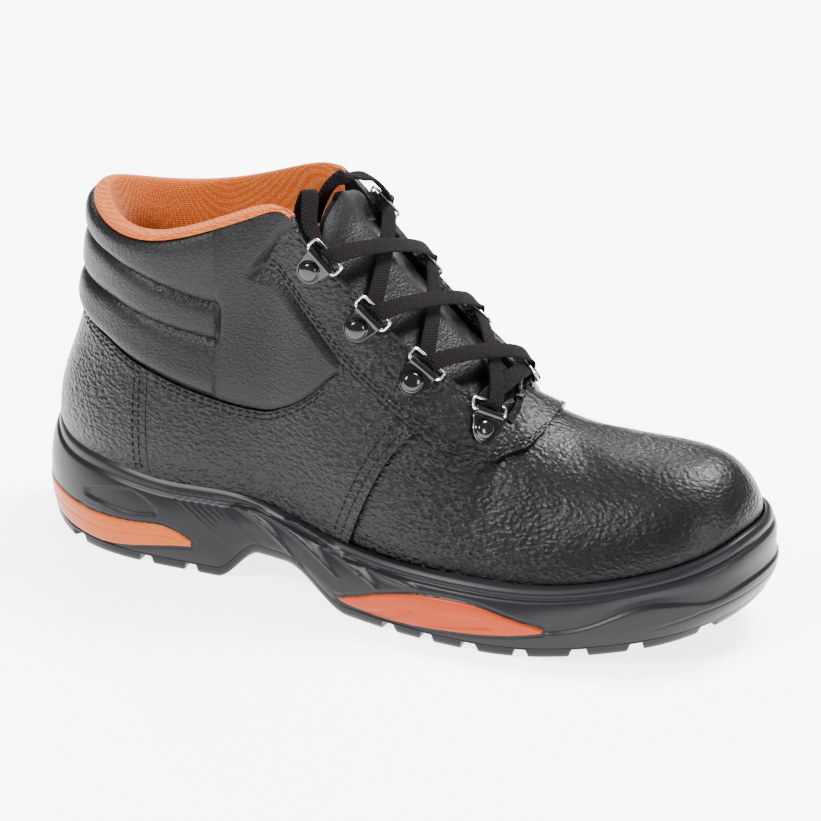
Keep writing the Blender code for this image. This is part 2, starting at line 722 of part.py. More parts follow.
def build_collar(skins, home):
    u = both_sides(COLLAR_PLACES)
    heights, depth = zip(*[collar_rows(place) for place in u])
    v, depth = np.array(heights).T, np.array(depth).T
    u = np.broadcast_to(u, v.shape)
    outer, inner = over_upper(u, v, PANEL_GAP + depth), over_upper(u, v, PANEL_GAP)
    for grid in (outer, inner):
        grid[-1, :, 2] -= 0.3 * GAP
    middle = fold(0.5 * (u[0, 1:] + u[0, :-1]))
    keep = np.ones((v.shape[0] - 1, v.shape[1] - 1), bool)
    keep[6, middle < COLLAR_CORNER] = False
    keep[7:, middle < COLLAR_FRONT + COLLAR_BREAK] = False
    points, faces = shell(outer, inner, keep=keep)
    return add_mesh("padded_collar", points, faces, skins["collar"], home)


def build_lining(skins, home):
    u = both_sides([p for p in COLLAR_PLACES if p > COLLAR_FRONT + COLLAR_BREAK - 1e-6])
    top, n = upper_surface(u, 1.0), surface_normal(u, 1.0)
    level = n * np.array([1.0, 1.0, 0.0])
    level = level / np.linalg.norm(level, axis=-1, keepdims=True)
    up = np.array([0.0, 0.0, 1.0])
    pad = LINING_EDGE + (LINING_PAD - LINING_EDGE) * smooth(8.6, 9.8, fold(u))
    outer, inner = [], []
    for out, rise, back, under in RIM_SECTION:
        outer.append(top + level * (out * MM) + up * (rise * MM))
        inner.append(top + level * (back * MM) + up * (under * MM))
    wall = WALL + PANEL_GAP
    for drop, share in LINING_ROWS:
        v = place_at_height(u, top[:, 2] - drop * MM)
        outer.append(over_upper(u, v, -(wall + LINING_EDGE + (pad - LINING_EDGE) * share)))
        inner.append(over_upper(u, v, -wall * np.ones_like(u)))
    points, faces = shell(np.array(outer), np.array(inner))
    return add_mesh("collar_lining", points, faces, skins["lining"], home)


# tongue

def tongue_section(u, low):
    """Seven points across the tongue at place u: under both walls and arched between them."""
    sink = -(WALL + TONGUE_CLEAR)
    swell = float(smooth(THROAT_FRONT, 6.9, u))
    side, shoulders = [], []
    for place in (u, ROUND - u):
        flap = [over_upper(place, v, sink) for v in (low, TONGUE_EDGE)]
        side.append(flap if place == u else flap[::-1])
        shoulders.append(over_upper(place, 0.965, sink))
    middle = 0.5 * (over_upper(u, 1.0, sink) + over_upper(ROUND - u, 1.0, sink))
    shoulders = [0.5 * edge + 0.5 * middle + THROAT_NORMAL * (0.45 * TONGUE_BULGE * swell)
                 for edge in shoulders]
    middle = middle + THROAT_NORMAL * (TONGUE_BULGE * swell)
    return np.array(side[0] + [shoulders[0], middle, shoulders[1]] + side[1])


def build_tongue(skins, home):
    sections = [tongue_section(u, low) for u, low in TONGUE_PLACES]
    last = sections[-1]
    centre = last[3] * np.array([1.0, 0.0, 1.0]) - THROAT_NORMAL * TONGUE_BULGE
    for reach, width in TONGUE_END:
        move = THROAT_SLOPE * (reach * MM)
        sections.append(centre + move + (last - centre) * np.array([1.0, width, 1.0])
                        - THROAT_NORMAL * (reach * MM * TONGUE_NOD))
    at = np.linspace(0.0, 6.0, TONGUE_ACROSS)
    outer = np.array([spline(section, at) for section in sections])
    middle = outer[:, TONGUE_ACROSS // 2, 1][:, None]
    across = outer[..., 1] - middle
    half = np.abs(across).max(axis=1, keepdims=True)
    inner = outer - THROAT_NORMAL * TONGUE
    inner[..., 1] = middle + across * (1 - TONGUE / half)
    points, faces = shell(outer, inner)
    return add_mesh("tongue", points, faces, skins["leather"], home)


# sole

def split_height(u):
    """Top of the lug layer."""
    return floor_height(along(outline(u)[..., 0])) + OUTSOLE


def sole_grid(u, z, depth=0.0):
    """Point on the sole's side, moved in by depth, that leaves a lip round the upper."""
    p = sole_side(u, z)
    level = outward(u)
    inner = over_upper(u, place_at_height(u, z), GAP)
    room = np.sum((p - inner)[..., :2] * level, axis=-1)
    low = foot_line(u)[..., 2]
    need = np.where(z > low, np.maximum(RIM_LIP - (room - depth), 0.0), 0.0)
    p[..., :2] += level * (need - depth)[..., None]
    return p


def build_midsole(skins, home, cutters):
    u = round_places(STATION_STEPS)
    rim, low = rim_height(u), floor_height(along(outline(u)[..., 0]))
    split = split_height(u) + SEAM
    table = np.array(WAVE)
    wave = low + (rim - low) * np.interp(fold(u), table[:, 0], table[:, 1])
    step = WAVE_STEP * (1 - smooth(4.6, 5.3, fold(u)))
    rings = [sole_grid(u, split), sole_grid(u, 0.5 * (split + wave)), sole_grid(u, wave - 0.6 * MM),
             sole_grid(u, wave + 0.9 * MM, step),
             sole_grid(u, 0.5 * (wave + low + 0.84 * (rim - low)), 0.8 * step)]
    for share, depth in RIM_ROWS:
        rings.append(sole_grid(u, low + share * (rim - low), depth * MM * np.ones_like(u)))
    rings.append(sole_grid(u, rim - 0.9 * MM))
    outer_rim = sole_grid(u, rim)
    v_rim = place_at_height(u, rim)
    inner_rim = over_upper(u, v_rim, GAP)
    rings.append(outer_rim * 0.65 + inner_rim * 0.35)
    inner_rim[:, 2] = rim - 0.3 * MM
    rings.append(inner_rim)
    for share in CUP_ROWS:
        ring = over_upper(u, v_rim * share, GAP)
        rings.append(ring)
    corner = over_upper(u, np.zeros_like(u), GAP)
    corner[:, 2] = foot_line(u)[:, 2] - GAP
    rings.append(corner)
    points, faces = ring_solid(rings)
    body = add_mesh("midsole", points, faces, skins["sole"], home)
    ribs_points, ribs_faces = [], []
    for mirror in (False, True):
        for line in WAIST_LINES:
            p, f = side_rib(line, mirror)
            ribs_faces += [[k + len(ribs_points) for k in ring] for ring in f]
            ribs_points += list(p)
    ribs = add_mesh("waist_ribs", ribs_points, ribs_faces, None, cutters)
    boolean(body, ribs, "UNION")
    for name, (table, mirror, whole) in INSERTS.items():
        points, faces = insert_shape(table, mirror, whole, GAP, INSERT_DEPTH)
        boolean(body, add_mesh(name + "_pocket", points, faces, None, cutters), "DIFFERENCE")
    for mirror in (False, True):
        points, faces = insert_shape(HEEL_RECESS, mirror, False, GAP, RECESS_DEPTH)
        name = "heel_recess_medial" if mirror else "heel_recess_lateral"
        boolean(body, add_mesh(name, points, faces, None, cutters), "DIFFERENCE")
    return body


def side_rib(line, mirror):
    """Raised line on the sole's side, three-sided, with both ends sunk in."""
    s = np.linspace(0.0, 1.0, 5)
    bezier = np.stack([(1 - s) ** 2, 2 * s * (1 - s), s ** 2])
    u = line[0] * bezier[0] + (2 * line[2] - 0.5 * (line[0] + line[4])) * bezier[1] + line[4] * bezier[2]
    z = line[1] * bezier[0] + (2 * line[3] - 0.5 * (line[1] + line[5])) * bezier[1] + line[5] * bezier[2]
    z = z * MM
    place = ROUND - u if mirror else u
    centre = sole_grid(place, z)
    level = np.concatenate([outward(place), np.zeros((len(u), 1))], axis=-1)
    forward = np.gradient(centre, axis=0)
    across = np.cross(forward, level)
    across = across / np.linalg.norm(across, axis=-1, keepdims=True)
    swell = np.sin(np.pi * np.clip(s, 0.02, 0.98))[:, None] ** 0.5
    crest = level * (RIB_HEIGHT * swell - 0.3 * MM * (1 - swell))
    outer = np.array([centre - level * 0.5 * MM + across * 0.5 * line[6] * MM, centre + crest,
                      centre - level * 0.5 * MM - across * 0.5 * line[6] * MM])
    inner = outer - level[None] * 1.2 * MM
    inner[1] = centre - level * 1.7 * MM
    return shell(outer, inner)


def insert_shape(table, mirror, whole, spare, depth):
    """Block between two lines on the sole's side; spare above zero makes its pocket."""
    rows = np.array(table, float)
    at = np.linspace(0, len(rows) - 1, 2 * len(rows) - 1)
    rows = np.stack([spline(rows[:, k], at) for k in range(3)], axis=-1)
    u, low, top = rows[:, 0].copy(), rows[:, 1] * MM, rows[:, 2] * MM
    if spare > 0:
        u[0] -= END_SHARE
        if not whole:
            u[-1] += END_SHARE
    low, top = low - spare, top + spare
    if whole:
        u, low, top = both_sides(u), np.append(low, low[-2::-1]), np.append(top, top[-2::-1])
    elif mirror:
        u = ROUND - u
    s = np.linspace(0.0, 1.0, 3)[:, None]
    z = low * (1 - s) + top * s
    u = np.broadcast_to(u, z.shape)
    side = sole_grid(u, z)
    level = np.concatenate([outward(u), np.zeros(z.shape + (1,))], axis=-1)
    face = 3 * MM if spare > 0 else -INSERT_SINK
    return shell(side + level * face, side - level * (depth + max(spare, 0.0)))


def build_inserts(skins, home):
    for name, (table, mirror, whole) in INSERTS.items():
        points, faces = insert_shape(table, mirror, whole, 0.0, INSERT_DEPTH)
        add_mesh(name, points, faces, skins["insert"], home)


def build_outsole(skins, home, cutters):
    u = round_places(STATION_STEPS)
    low = floor_height(along(outline(u)[..., 0]))
    rings = [sole_side(u, low), sole_side(u, low + 0.4 * OUTSOLE), sole_side(u, low + OUTSOLE)]
    points, faces = ring_solid(rings)
    body = add_mesh("outsole", points, faces, skins["sole"], home)
    for k, (t, turn) in enumerate(LUG_GROOVES):
        low = float(floor_height(t))
        slope = (float(floor_height(t + 0.02)) - float(floor_height(t - 0.02))) / (0.04 * LENGTH)
        size = (LUG_GROOVE, 1.6 * BALL_WIDTH, 4 * LUG_DEPTH)
        spot = ((t - 0.5) * LENGTH, 0.0, low - LUG_DEPTH)
        cutter = box("tread_groove_%d" % (k + 1), size, spot, cutters)
        cutter.rotation_euler = (0.0, -math.atan(slope), math.radians(turn))
        boolean(body, cutter, "DIFFERENCE")
    for k, (start, end, across) in enumerate(TREAD_CHANNELS):
        size = ((end - start) * LENGTH, TREAD_CHANNEL, 4 * LUG_DEPTH)
        spot = ((0.5 * (start + end) - 0.5) * LENGTH, across * BALL_WIDTH, -LUG_DEPTH)
        boolean(body, box("tread_channel_%d" % (k + 1), size, spot, cutters), "DIFFERENCE")
    return body


def box(name, size, spot, home):
    half = np.array(size) / 2
    points = [np.array([x, y, z]) * half for x in (-1, 1) for y in (-1, 1) for z in (-1, 1)]
    faces = [(0, 1, 3, 2), (4, 6, 7, 5), (0, 4, 5, 1), (2, 3, 7, 6), (0, 2, 6, 4), (1, 5, 7, 3)]
    obj = add_mesh(name, points, faces, None, home)
    obj.location = spot
    return obj


def build_insole(skins, home):
    u = round_places(INSOLE_STEPS)
    foot = upper_surface(u, np.zeros_like(u))
    level = np.concatenate([outward(u), np.zeros((len(u), 1))], axis=-1)
    seat = foot_line(u)[:, 2] + INSOLE_CLEAR
    rings = []
    for inset, rise in ((1.4, 0.0), (1.0, 1.0), (1.0, 3.0), (1.8, 4.0)):
        ring = foot - level * (WALL + inset * MM)
        ring[:, 2] = seat + rise / 4.0 * INSOLE
        rings.append(ring)
    points, faces = ring_solid(rings)
    return add_mesh("insole", points, faces, skins["lining"], home)


# clips, rings and lace

def clip_frame(u, v, mirror):
    """Rivet place, and directions along the throat edge, towards it and out of the eyestay."""
    place = ROUND - u if mirror else u
    height = EYESTAY_GAP + EYESTAY + CLIP_GAP
    spot = over_upper(place, v, height)
    near = place + np.linspace(-CLIP_SEARCH, CLIP_SEARCH, 61)
    edge = over_upper(near, np.ones_like(near), height)
    toward = edge[np.argmin(np.linalg.norm(edge - spot, axis=-1))] - spot
    reach = float(np.linalg.norm(toward))
    toward = toward / reach
    n = surface_normal(place, 0.5 * (v + 1.0))
    n = n - toward * np.dot(toward, n)
    n = n / np.linalg.norm(n)
    return spot, np.cross(toward, n), toward, n, reach


def place_points(points, spot, side, toward, n):
    points = np.asarray(points)
    return spot + points[:, :1] * side + points[:, 1:2] * toward + points[:, 2:3] * n


def clip_points(reach):
    """Drop-shaped plate with a domed rivet, as rings of points about the rivet."""
    count = 12
    angle = 2 * np.pi * np.arange(count) / count
    circle = np.stack([np.cos(angle), np.sin(angle)], axis=-1)
    drop = circle * CLIP_RADIUS
    tail = np.clip(circle[:, 1], 0, 1) ** 2
    drop[:, 1] += tail * (reach - CLIP_RADIUS)
    drop[:, 0] = drop[:, 0] * (1 - 0.35 * tail)
    rings = [(drop, 0.0), (drop, CLIP_PLATE), (circle * (RIVET_RADIUS + 0.2 * MM), CLIP_PLATE),
             (circle * RIVET_RADIUS * 0.92, CLIP_PLATE + 0.6 * RIVET_HEIGHT),
             (circle * RIVET_RADIUS * 0.5, CLIP_PLATE + RIVET_HEIGHT)]
    points, faces = [], []
    for ring, height in rings:
        points += [[x, y, height] for x, y in ring]
    for j in range(len(rings) - 1):
        for i in range(count):
            n = (i + 1) % count
            faces.append([j * count + i, j * count + n, (j + 1) * count + n, (j + 1) * count + i])
    faces.append(list(reversed(range(count))))
    faces.append([(len(rings) - 1) * count + i for i in range(count)])
    return np.array(points), faces


def barrel_points(reach):
    """Folded loop at the plate's end: a short pipe that the ring's leg lies in."""
    sides, points, faces = 8, [], []
    for radius, x in ((BARREL_OUTER, -1), (BARREL_OUTER, 1), (BARREL_INNER, 1), (BARREL_INNER, -1)):
        for s in range(sides):
            angle = 2 * np.pi * s / sides
            points.append([0.5 * CLIP_LOOP * x, reach + radius * np.cos(angle),
                           BARREL_OUTER - 0.05 * MM + radius * np.sin(angle)])
    for j in range(4):
        a, b = j * sides, ((j + 1) % 4) * sides
        for s in range(sides):
            n = (s + 1) % sides
            faces.append([a + s, a + n, b + n, b + s])
    return np.array(points), faces


def ring_frame(u, v, mirror):
    """Centre of the loop and the direction in which the ring hangs over the throat."""
    spot, side, toward, n, reach = clip_frame(u, v, mirror)
    pin = spot + toward * reach + n * (BARREL_OUTER - 0.05 * MM)
    inward = np.array([0.0, -1.0 if mirror else 1.0, 0.0])
    lean = toward + RING_LEAN * (inward - side * np.dot(inward, side))
    lean = lean / np.linalg.norm(lean)
    return pin, side, lean


def ring_path(pin, side, lean):
    half, round_off = 0.5 * RING_WIDTH, 2.2 * MM
    path = []
    corners = ((-half, 0.0), (half, 0.0), (half, RING_LENGTH), (-half, RING_LENGTH))
    for k, (a, b) in enumerate(corners):
        corner = np.array([a, b])
        for other in (corners[k - 1], corners[(k + 1) % 4]):
            d = np.array(other) - corner
            path.append(corner + d / np.linalg.norm(d) * round_off)
    path = np.array(path)
    return pin + path[:, :1] * side + path[:, 1:] * lean


def build_hardware(skins, home, cutters):
    bars = {}
    for mirror in (False, True):
        label = "medial" if mirror else "lateral"
        for k, (u, v) in enumerate(CLIPS):
            number = len(CLIPS) - k
            spot, side, toward, n, reach = clip_frame(u, v, mirror)
            points, faces = clip_points(reach)
            points = place_points(points, spot, side, toward, n)
            clip = add_mesh("clip_%d_%s" % (number, label), points, faces, skins["clip"], home)
            points, faces = barrel_points(reach)
            points = place_points(points, spot, side, toward, n)
            name = "clip_loop_%d_%s" % (number, label)
            boolean(clip, add_mesh(name, points, faces, None, cutters), "UNION")
            pin, side, lean = ring_frame(u, v, mirror)
            path = ring_path(pin, side, lean)
            points, faces = tube(path, 0.5 * RING_WIRE, 5, True, np.cross(side, lean))
            add_mesh("ring_%d_%s" % (number, label), points, faces, skins["metal"], home)
            if side[0] < 0:
                side = -side
            bars[number, label] = (pin + lean * RING_LENGTH, side)
    return bars


def strip(start, end, side, rise):
    """Flat lace from ring to ring, arched over the tongue."""
    flat = end - start
    length = np.linalg.norm(flat)
    flat = flat / length
    clear = LACE_CLEAR + 0.5 * LACE_WIDTH * abs(float(np.dot(flat, side)))
    a, b = start + flat * clear, end - flat * clear
    s = np.linspace(0.0, 1.0, 7)[:, None]
    path = a * (1 - s) + b * s + THROAT_NORMAL * rise * (4 * s * (1 - s)) ** 0.7
    across = np.cross(flat, THROAT_NORMAL)
    across = across / np.linalg.norm(across)
    up = np.cross(across, flat)
    half = 0.5 * LACE_WIDTH
    outer = np.array([path + across * half * x + up * 0.5 * LACE * y
                      for x, y in ((-1, 0.4), (-0.7, 1), (0.7, 1), (1, 0.4))])
    inner = np.array([path + across * half * x - up * 0.5 * LACE * y
                      for x, y in ((-1, 0.4), (-0.7, 1), (0.7, 1), (1, 0.4))])
    return shell(outer, inner)


def build_lace(bars, skins, home, cutters):
    for k in (1, 2, 3):
        near, near_side = bars[k, "lateral"]
        far, far_side = bars[k, "medial"]
        near_next, near_next_side = bars[k + 1, "lateral"]
        far_next, far_next_side = bars[k + 1, "medial"]
        points, faces = strip(near + near_side * LACE_APART, far_next - far_next_side * LACE_APART,
                              near_side, LACE_ARCH + 0.6 * MM)
        over = add_mesh("lace_crossing_%d" % k, points, faces, skins["lace"], home)
        points, faces = strip(far + far_side * LACE_APART, near_next - near_next_side * LACE_APART,
                              far_side, LACE_ARCH - 0.5 * MM)
        boolean(over, add_mesh("lace_under_%d" % k, points, faces, None, cutters), "UNION")
    near, near_side = bars[4, "lateral"]
    far, far_side = bars[4, "medial"]
    points, faces = strip(near + near_side * LACE_APART, far + far_side * LACE_APART,
                          near_side, LACE_ARCH)
    add_mesh("lace_bar", points, faces, skins["lace"], home)


def cord(name, path, material, home):
    curve = bpy.data.curves.new(name, "CURVE")
    curve.dimensions = "3D"
    curve.bevel_depth = 0.5 * LACE_END
    curve.bevel_resolution = 2
    curve.use_fill_caps = True
    line = curve.splines.new("POLY")
    line.points.add(len(path) - 1)
    for point, spot in zip(line.points, path):
        point.co = (spot[0], spot[1], spot[2], 1.0)
    curve.materials.append(material)
    obj = bpy.data.objects.new(name, curve)
    home.objects.link(obj)
    return obj


def build_lace_ends(bars, skins, home):
    """Loose ends that run from the top rings back over the tongue's edge into the boot."""
    for label, name, sign in (("lateral", "lace_end_near", -1.0), ("medial", "lace_end_far", 1.0)):
        start, side = bars[1, label]
        first = start - side * LACE_APART + THROAT_NORMAL * (0.5 * (RING_WIRE + LACE_END) + SEAM)
        marks = [first] + [np.array([x, sign * y, z]) * MM - np.array([0.5 * LENGTH, 0.0, 0.0])
                           for x, y, z in LACE_END_PATH]
        marks = np.array(marks)
        at = np.linspace(0, len(marks) - 1, 11)
        cord(name, spline(marks, at), skins["lace"], home)


# scene

def material(name, colour, metallic, roughness):
    found = bpy.data.materials.new(name)
    found.use_nodes = True
    shader = found.node_tree.nodes["Principled BSDF"]
    shader.inputs["Base Color"].default_value = (*colour, 1.0)
    shader.inputs["Metallic"].default_value = metallic
    shader.inputs["Roughness"].default_value = roughness
    found.diffuse_color = (*colour, 1.0)
    return found


def main():
    for obj in list(bpy.data.objects):
        bpy.data.objects.remove(obj, do_unlink=True)
    home = bpy.data.collections.new("steel_toe_boot")
    cutters = bpy.data.collections.new("cutters")
    for collection in (home, cutters):
        bpy.context.scene.collection.children.link(collection)
    skins = {
        "leather": material("black_leather", (0.022, 0.021, 0.024), 0.0, 0.42),
        "collar": material("black_collar_cloth", (0.030, 0.029, 0.033), 0.0, 0.55),
        "lining": material("orange_lining", (0.80, 0.36, 0.14), 0.0, 0.85),
        "sole": material("black_sole_rubber", (0.042, 0.040, 0.046), 0.0, 0.50),
        "insert": material("orange_sole_insert", (0.70, 0.20, 0.07), 0.0, 0.45),
        "clip": material("black_clip_lacquer", (0.020, 0.020, 0.022), 0.3, 0.25),
        "metal": material("bright_ring_wire", (0.60, 0.57, 0.59), 1.0, 0.30),
        "lace": material("black_lace", (0.035, 0.033, 0.034), 0.0, 0.90),
    }
    build_outsole(skins, home, cutters)
    build_midsole(skins, home, cutters)
    build_inserts(skins, home)
    build_insole(skins, home)
    build_upper(skins, home)
    build_tongue(skins, home)
    build_quarter("quarter_lateral", False, skins, home)
    build_quarter("quarter_medial", True, skins, home)
    build_counter(skins, home)
    build_collar(skins, home)
    build_lining(skins, home)
    build_eyestay(skins, home)
    bars = build_hardware(skins, home, cutters)
    build_lace(bars, skins, home, cutters)
    build_lace_ends(bars, skins, home)
    widest = outline(np.linspace(0.0, ROUND, 2001))[:, 1]
    for obj in list(home.objects) + list(cutters.objects):
        obj.location.y -= 0.5 * float(widest.min() + widest.max())
    for obj in cutters.objects:
        obj.hide_render = True
        obj.display_type = "WIRE"


main()
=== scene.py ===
import math
import bmesh
import bpy
import numpy as np
from mathutils import Matrix, Vector


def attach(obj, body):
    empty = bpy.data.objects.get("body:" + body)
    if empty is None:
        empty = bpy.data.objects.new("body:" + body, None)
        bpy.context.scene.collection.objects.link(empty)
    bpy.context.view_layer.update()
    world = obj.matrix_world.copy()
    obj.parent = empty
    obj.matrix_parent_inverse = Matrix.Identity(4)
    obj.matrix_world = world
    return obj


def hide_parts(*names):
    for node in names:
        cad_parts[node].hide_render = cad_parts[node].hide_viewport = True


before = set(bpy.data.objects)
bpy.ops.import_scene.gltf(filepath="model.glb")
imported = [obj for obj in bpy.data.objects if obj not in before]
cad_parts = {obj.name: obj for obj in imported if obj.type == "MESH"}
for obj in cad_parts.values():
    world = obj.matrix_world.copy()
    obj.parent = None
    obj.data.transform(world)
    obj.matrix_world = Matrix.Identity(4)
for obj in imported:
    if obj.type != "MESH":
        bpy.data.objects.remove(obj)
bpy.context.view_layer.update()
mm = 0.001

# sizes in metres; tables read by place u round the shoe, 0 at the toe and 14 at the heel's back
shoe = dict(length=306 * mm, ballWidth=110 * mm, heelWidth=86 * mm, toeHeight=72.4 * mm,
            instepHeight=84 * mm, collarHeight=143.5 * mm, collarWidth=70 * mm,
            throatGap=58 * mm, wall=2.4 * mm, lastInset=8 * mm, gap=0.4 * mm)
sole = dict(rimHeight=50 * mm, undercut=3 * mm, rimInset=5 * mm, lip=1.2 * mm, heelSeat=28 * mm,
            foreSeat=16 * mm, spring=17 * mm, arch=14.5 * mm, outsole=4.5 * mm)
# along, outer and inner as shares; row of the top line; vault, square, bulge, hollow, rim
stations = np.array((
    (1.0, 0.03, 0.03, 0.0, 1.0, 2.8, 0.02, 0.0, 1.0),
    (0.985, -0.155, 0.19, 0.1, 1.0, 2.8, 0.02, 0.0, 0.98),
    (0.955, -0.285, 0.3, 0.28, 1.0, 2.65, 0.02, 0.0, 0.9),
    (0.907, -0.39, 0.385, 0.6, 1.0, 2.4, 0.015, 0.0, 0.8),
    (0.833, -0.475, 0.44, 1.1, 1.0, 2.05, 0.01, 0.0, 0.68),
    (0.745, -0.535, 0.455, 1.9, 1.0, 1.85, 0.0, 0.0, 0.59),
    (0.647, -0.555, 0.427, 3.25, 0.9, 1.8, 0.0, 0.0, 0.57),
    (0.539, -0.548, 0.374, 4.9, 0.6, 1.9, 0.02, 0.0, 0.57),
    (0.431, -0.51, 0.334, 5.7, 0.35, 2.0, 0.03, 0.01, 0.62),
    (0.325, -0.49, 0.39, 7.1, 0.15, 2.0, 0.04, 0.02, 0.75),
    (0.218, -0.51, 0.45, 8.0, 0.05, 2.0, 0.05, 0.02, 0.75),
    (0.122, -0.475, 0.44, 8.75, 0.0, 2.0, 0.055, 0.01, 0.82),
    (0.048, -0.335, 0.325, 9.3, 0.0, 2.0, 0.055, 0.0, 0.85),
    (0.01, -0.163, 0.165, 9.7, 0.0, 2.0, 0.055, 0.0, 0.94),
    (0.0, 0.0, 0.0, 10.0, 0.0, 2.0, 0.055, 0.0, 0.99)))
half = len(stations) - 1
roundCount = 2 * half
# along, throat gap, collar width, toe, instep and collar height
topRows = np.array((
    (0.875, 0.0, 0.0, 1.0, 0.0, 0.0), (0.79, 0.0, 0.0, 0.65, 0.31, 0.0),
    (0.71, 0.0, 0.0, 0.3, 0.66, 0.0), (0.656, 0.0, 0.0, 0.0, 1.0, 0.0),
    (0.634, 0.32, 0.0, 0.0, 1.03, 0.0), (0.522, 0.48, 0.0, 0.0, 0.6, 0.415),
    (0.394, 0.53, 0.0, 0.0, 0.0, 1.025), (0.334, 0.0, 0.41, 0.0, 0.0, 1.07),
    (0.206, 0.0, 0.5, 0.0, 0.0, 0.967), (0.105, 0.0, 0.3, 0.0, 0.0, 0.967),
    (0.072, 0.0, 0.0, 0.0, 0.0, 1.0)))
throatRow = 3  # row of the top line where the throat opens
crownLean = 0.03  # share of the ball's width that the toe's crown leans inwards
placeRun, wallRun = 24, 85  # mm round the shoe for one place u, mm up the wall for v 0 to 1
# place u, then v of an edge or of the lower and upper line of a puff
eyestayEdge = np.array(((5.2, 1.0), (5.27, 0.82), (5.46, 0.68), (5.92, 0.58), (6.46, 0.612),
                        (6.96, 0.602), (7.45, 0.625), (7.84, 0.65), (8.38, 0.73), (8.9, 0.81)))
collarSeamRows = np.array(((7.8, 0.64), (7.94, 0.547), (8.28, 0.41), (8.7, 0.35), (9.1, 0.367),
                           (9.6, 0.423), (10.24, 0.503), (10.98, 0.57), (12.4, 0.6),
                           (14.0, 0.61)))
puffRows = np.array(((8.93, 0.58, 0.72), (9.34, 0.587, 0.71), (9.94, 0.663, 0.815),
                     (10.3, 0.705, 0.87), (10.84, 0.743, 0.903), (12.4, 0.727, 0.893),
                     (14.0, 0.73, 0.9)))
waveRows = np.array(((0.0, 0.47), (1.32, 0.47), (2.2, 0.44), (3.0, 0.59), (3.54, 0.66),
                     (3.96, 0.56), (4.4, 0.42), (5.0, 0.4), (14.0, 0.44)))


# s squared times (3 - 2 s), where s goes from 0 at a to 1 at b
def smooth(a, b, x):
    s = np.clip((x - a) / (b - a), 0.0, 1.0)
    return s * s * (3.0 - 2.0 * s)


# vectors divided by their own length
def unit(v):
    return v / np.linalg.norm(v, axis=-1, keepdims=True)


# running sum of the steps between the points of a line
def walked(path):
    return np.concatenate([[0.0], np.cumsum(np.linalg.norm(np.diff(path, axis=0), axis=-1))])


# each column of values read, in straight lines, at distances along a line
def readAlong(at, steps, values):
    return np.stack([np.interp(at, steps, column) for column in values.T], axis=-1)


# a spot plus the three columns of points times three directions
def inFrame(points, spot, first, second, third):
    return spot + points[..., :1] * first + points[..., 1:2] * second + points[..., 2:] * third


# slopes of a cubic spline through even rows: 1-4-1 system, closed or with free ends
def splineSlopes(values, closed):
    n = len(values)
    system, right = np.zeros((n, n)), np.zeros(values.shape)
    for k in range(n):
        if closed or 0 < k < n - 1:
            system[k, (k - 1) % n], system[k, k], system[k, (k + 1) % n] = 1.0, 4.0, 1.0
            right[k] = 3.0 * (values[(k + 1) % n] - values[(k - 1) % n])
    if not closed:
        system[0, 0], system[0, 1] = 2.0, 1.0
        right[0] = 3.0 * (values[1] - values[0])
        system[-1, -1], system[-1, -2] = 2.0, 1.0
        right[-1] = 3.0 * (values[-1] - values[-2])
    return np.linalg.solve(system, right.reshape(n, -1)).reshape(values.shape)


# cubic spline through rows of values, read at row numbers by four cubic weights
def spline(values, at, closed=False):
    values = np.asarray(values, float)
    n = len(values)
    slopes = splineSlopes(values, closed)
    at = np.asarray(at, float)
    at = np.mod(at, n) if closed else np.clip(at, 0.0, n - 1.0)
    row = np.minimum(np.floor(at).astype(int), n - 1 if closed else n - 2)
    s = (at - row).reshape(at.shape + (1,) * (values.ndim - 1))
    nextRow = (row + 1) % n
    return (values[row] * (1 - s) ** 2 * (1 + 2 * s) + values[nextRow] * s ** 2 * (3 - 2 * s)
            + slopes[row] * s * (1 - s) ** 2 - slopes[nextRow] * s ** 2 * (1 - s))


# a column of stations read round the shoe, mirrored for the inner side
def station(k, u):
    values = stations[:, k]
    return spline(np.concatenate([values, values[-2:0:-1]]), u, closed=True)


# place u on the outer side: those past the heel are counted back from the toe
def fold(u):
    u = np.mod(u, roundCount)
    return np.where(u > half, roundCount - u, u)


# share of the length, 0 at the heel and 1 at the toe
def along(x):
    return x / shoe["length"] + 0.5


# plan of the sole: shares times the width at that length
def outline(u):
    t = stations[:, 0]
    width = shoe["heelWidth"] + (shoe["ballWidth"] - shoe["heelWidth"]) * smooth(0.22, 0.66, t)
    x = (np.concatenate([t, t[-2:0:-1]]) - 0.5) * shoe["length"]
    y = np.concatenate([stations[:, 1] * width, (stations[:, 2] * width)[-2:0:-1]])
    return spline(np.stack([x, y], axis=-1), u, closed=True)


# level unit normal of the outline from a numeric difference
def outward(u):
    d = outline(u + 1e-3) - outline(u - 1e-3)
    return -unit(np.stack([d[..., 1], -d[..., 0]], axis=-1))


# the same normal as three columns, its height nought
def levelNormal(u):
    return np.concatenate([outward(u), np.zeros((len(u), 1))], axis=-1)


# underside: a smooth arch under the waist, plus powers of the way to the toe and to the heel
def floorHeight(t):
    arch = sole["arch"] * smooth(0.29, 0.35, t) * (1.0 - smooth(0.39, 0.485, t))
    spring = sole["spring"] * np.clip((t - 0.68) / 0.32, 0.0, 1.0) ** 1.6
    heel = 0.3 * sole["spring"] * np.clip((0.07 - t) / 0.07, 0.0, 1.0) ** 1.6
    return arch + spring + heel


# board: from the heel's to the forefoot's height in a smooth step, plus the toe spring
def seatHeight(t):
    spring = sole["spring"] * np.clip((t - 0.66) / 0.34, 0.0, 1.0) ** 1.6
    return sole["heelSeat"] + (sole["foreSeat"] - sole["heelSeat"]) * smooth(0.22, 0.62, t) + spring


# row of the top line that belongs to place u
def topPlace(u):
    return np.clip(spline(stations[:, 3], fold(u)), 0.0, len(topRows) - 1.0)


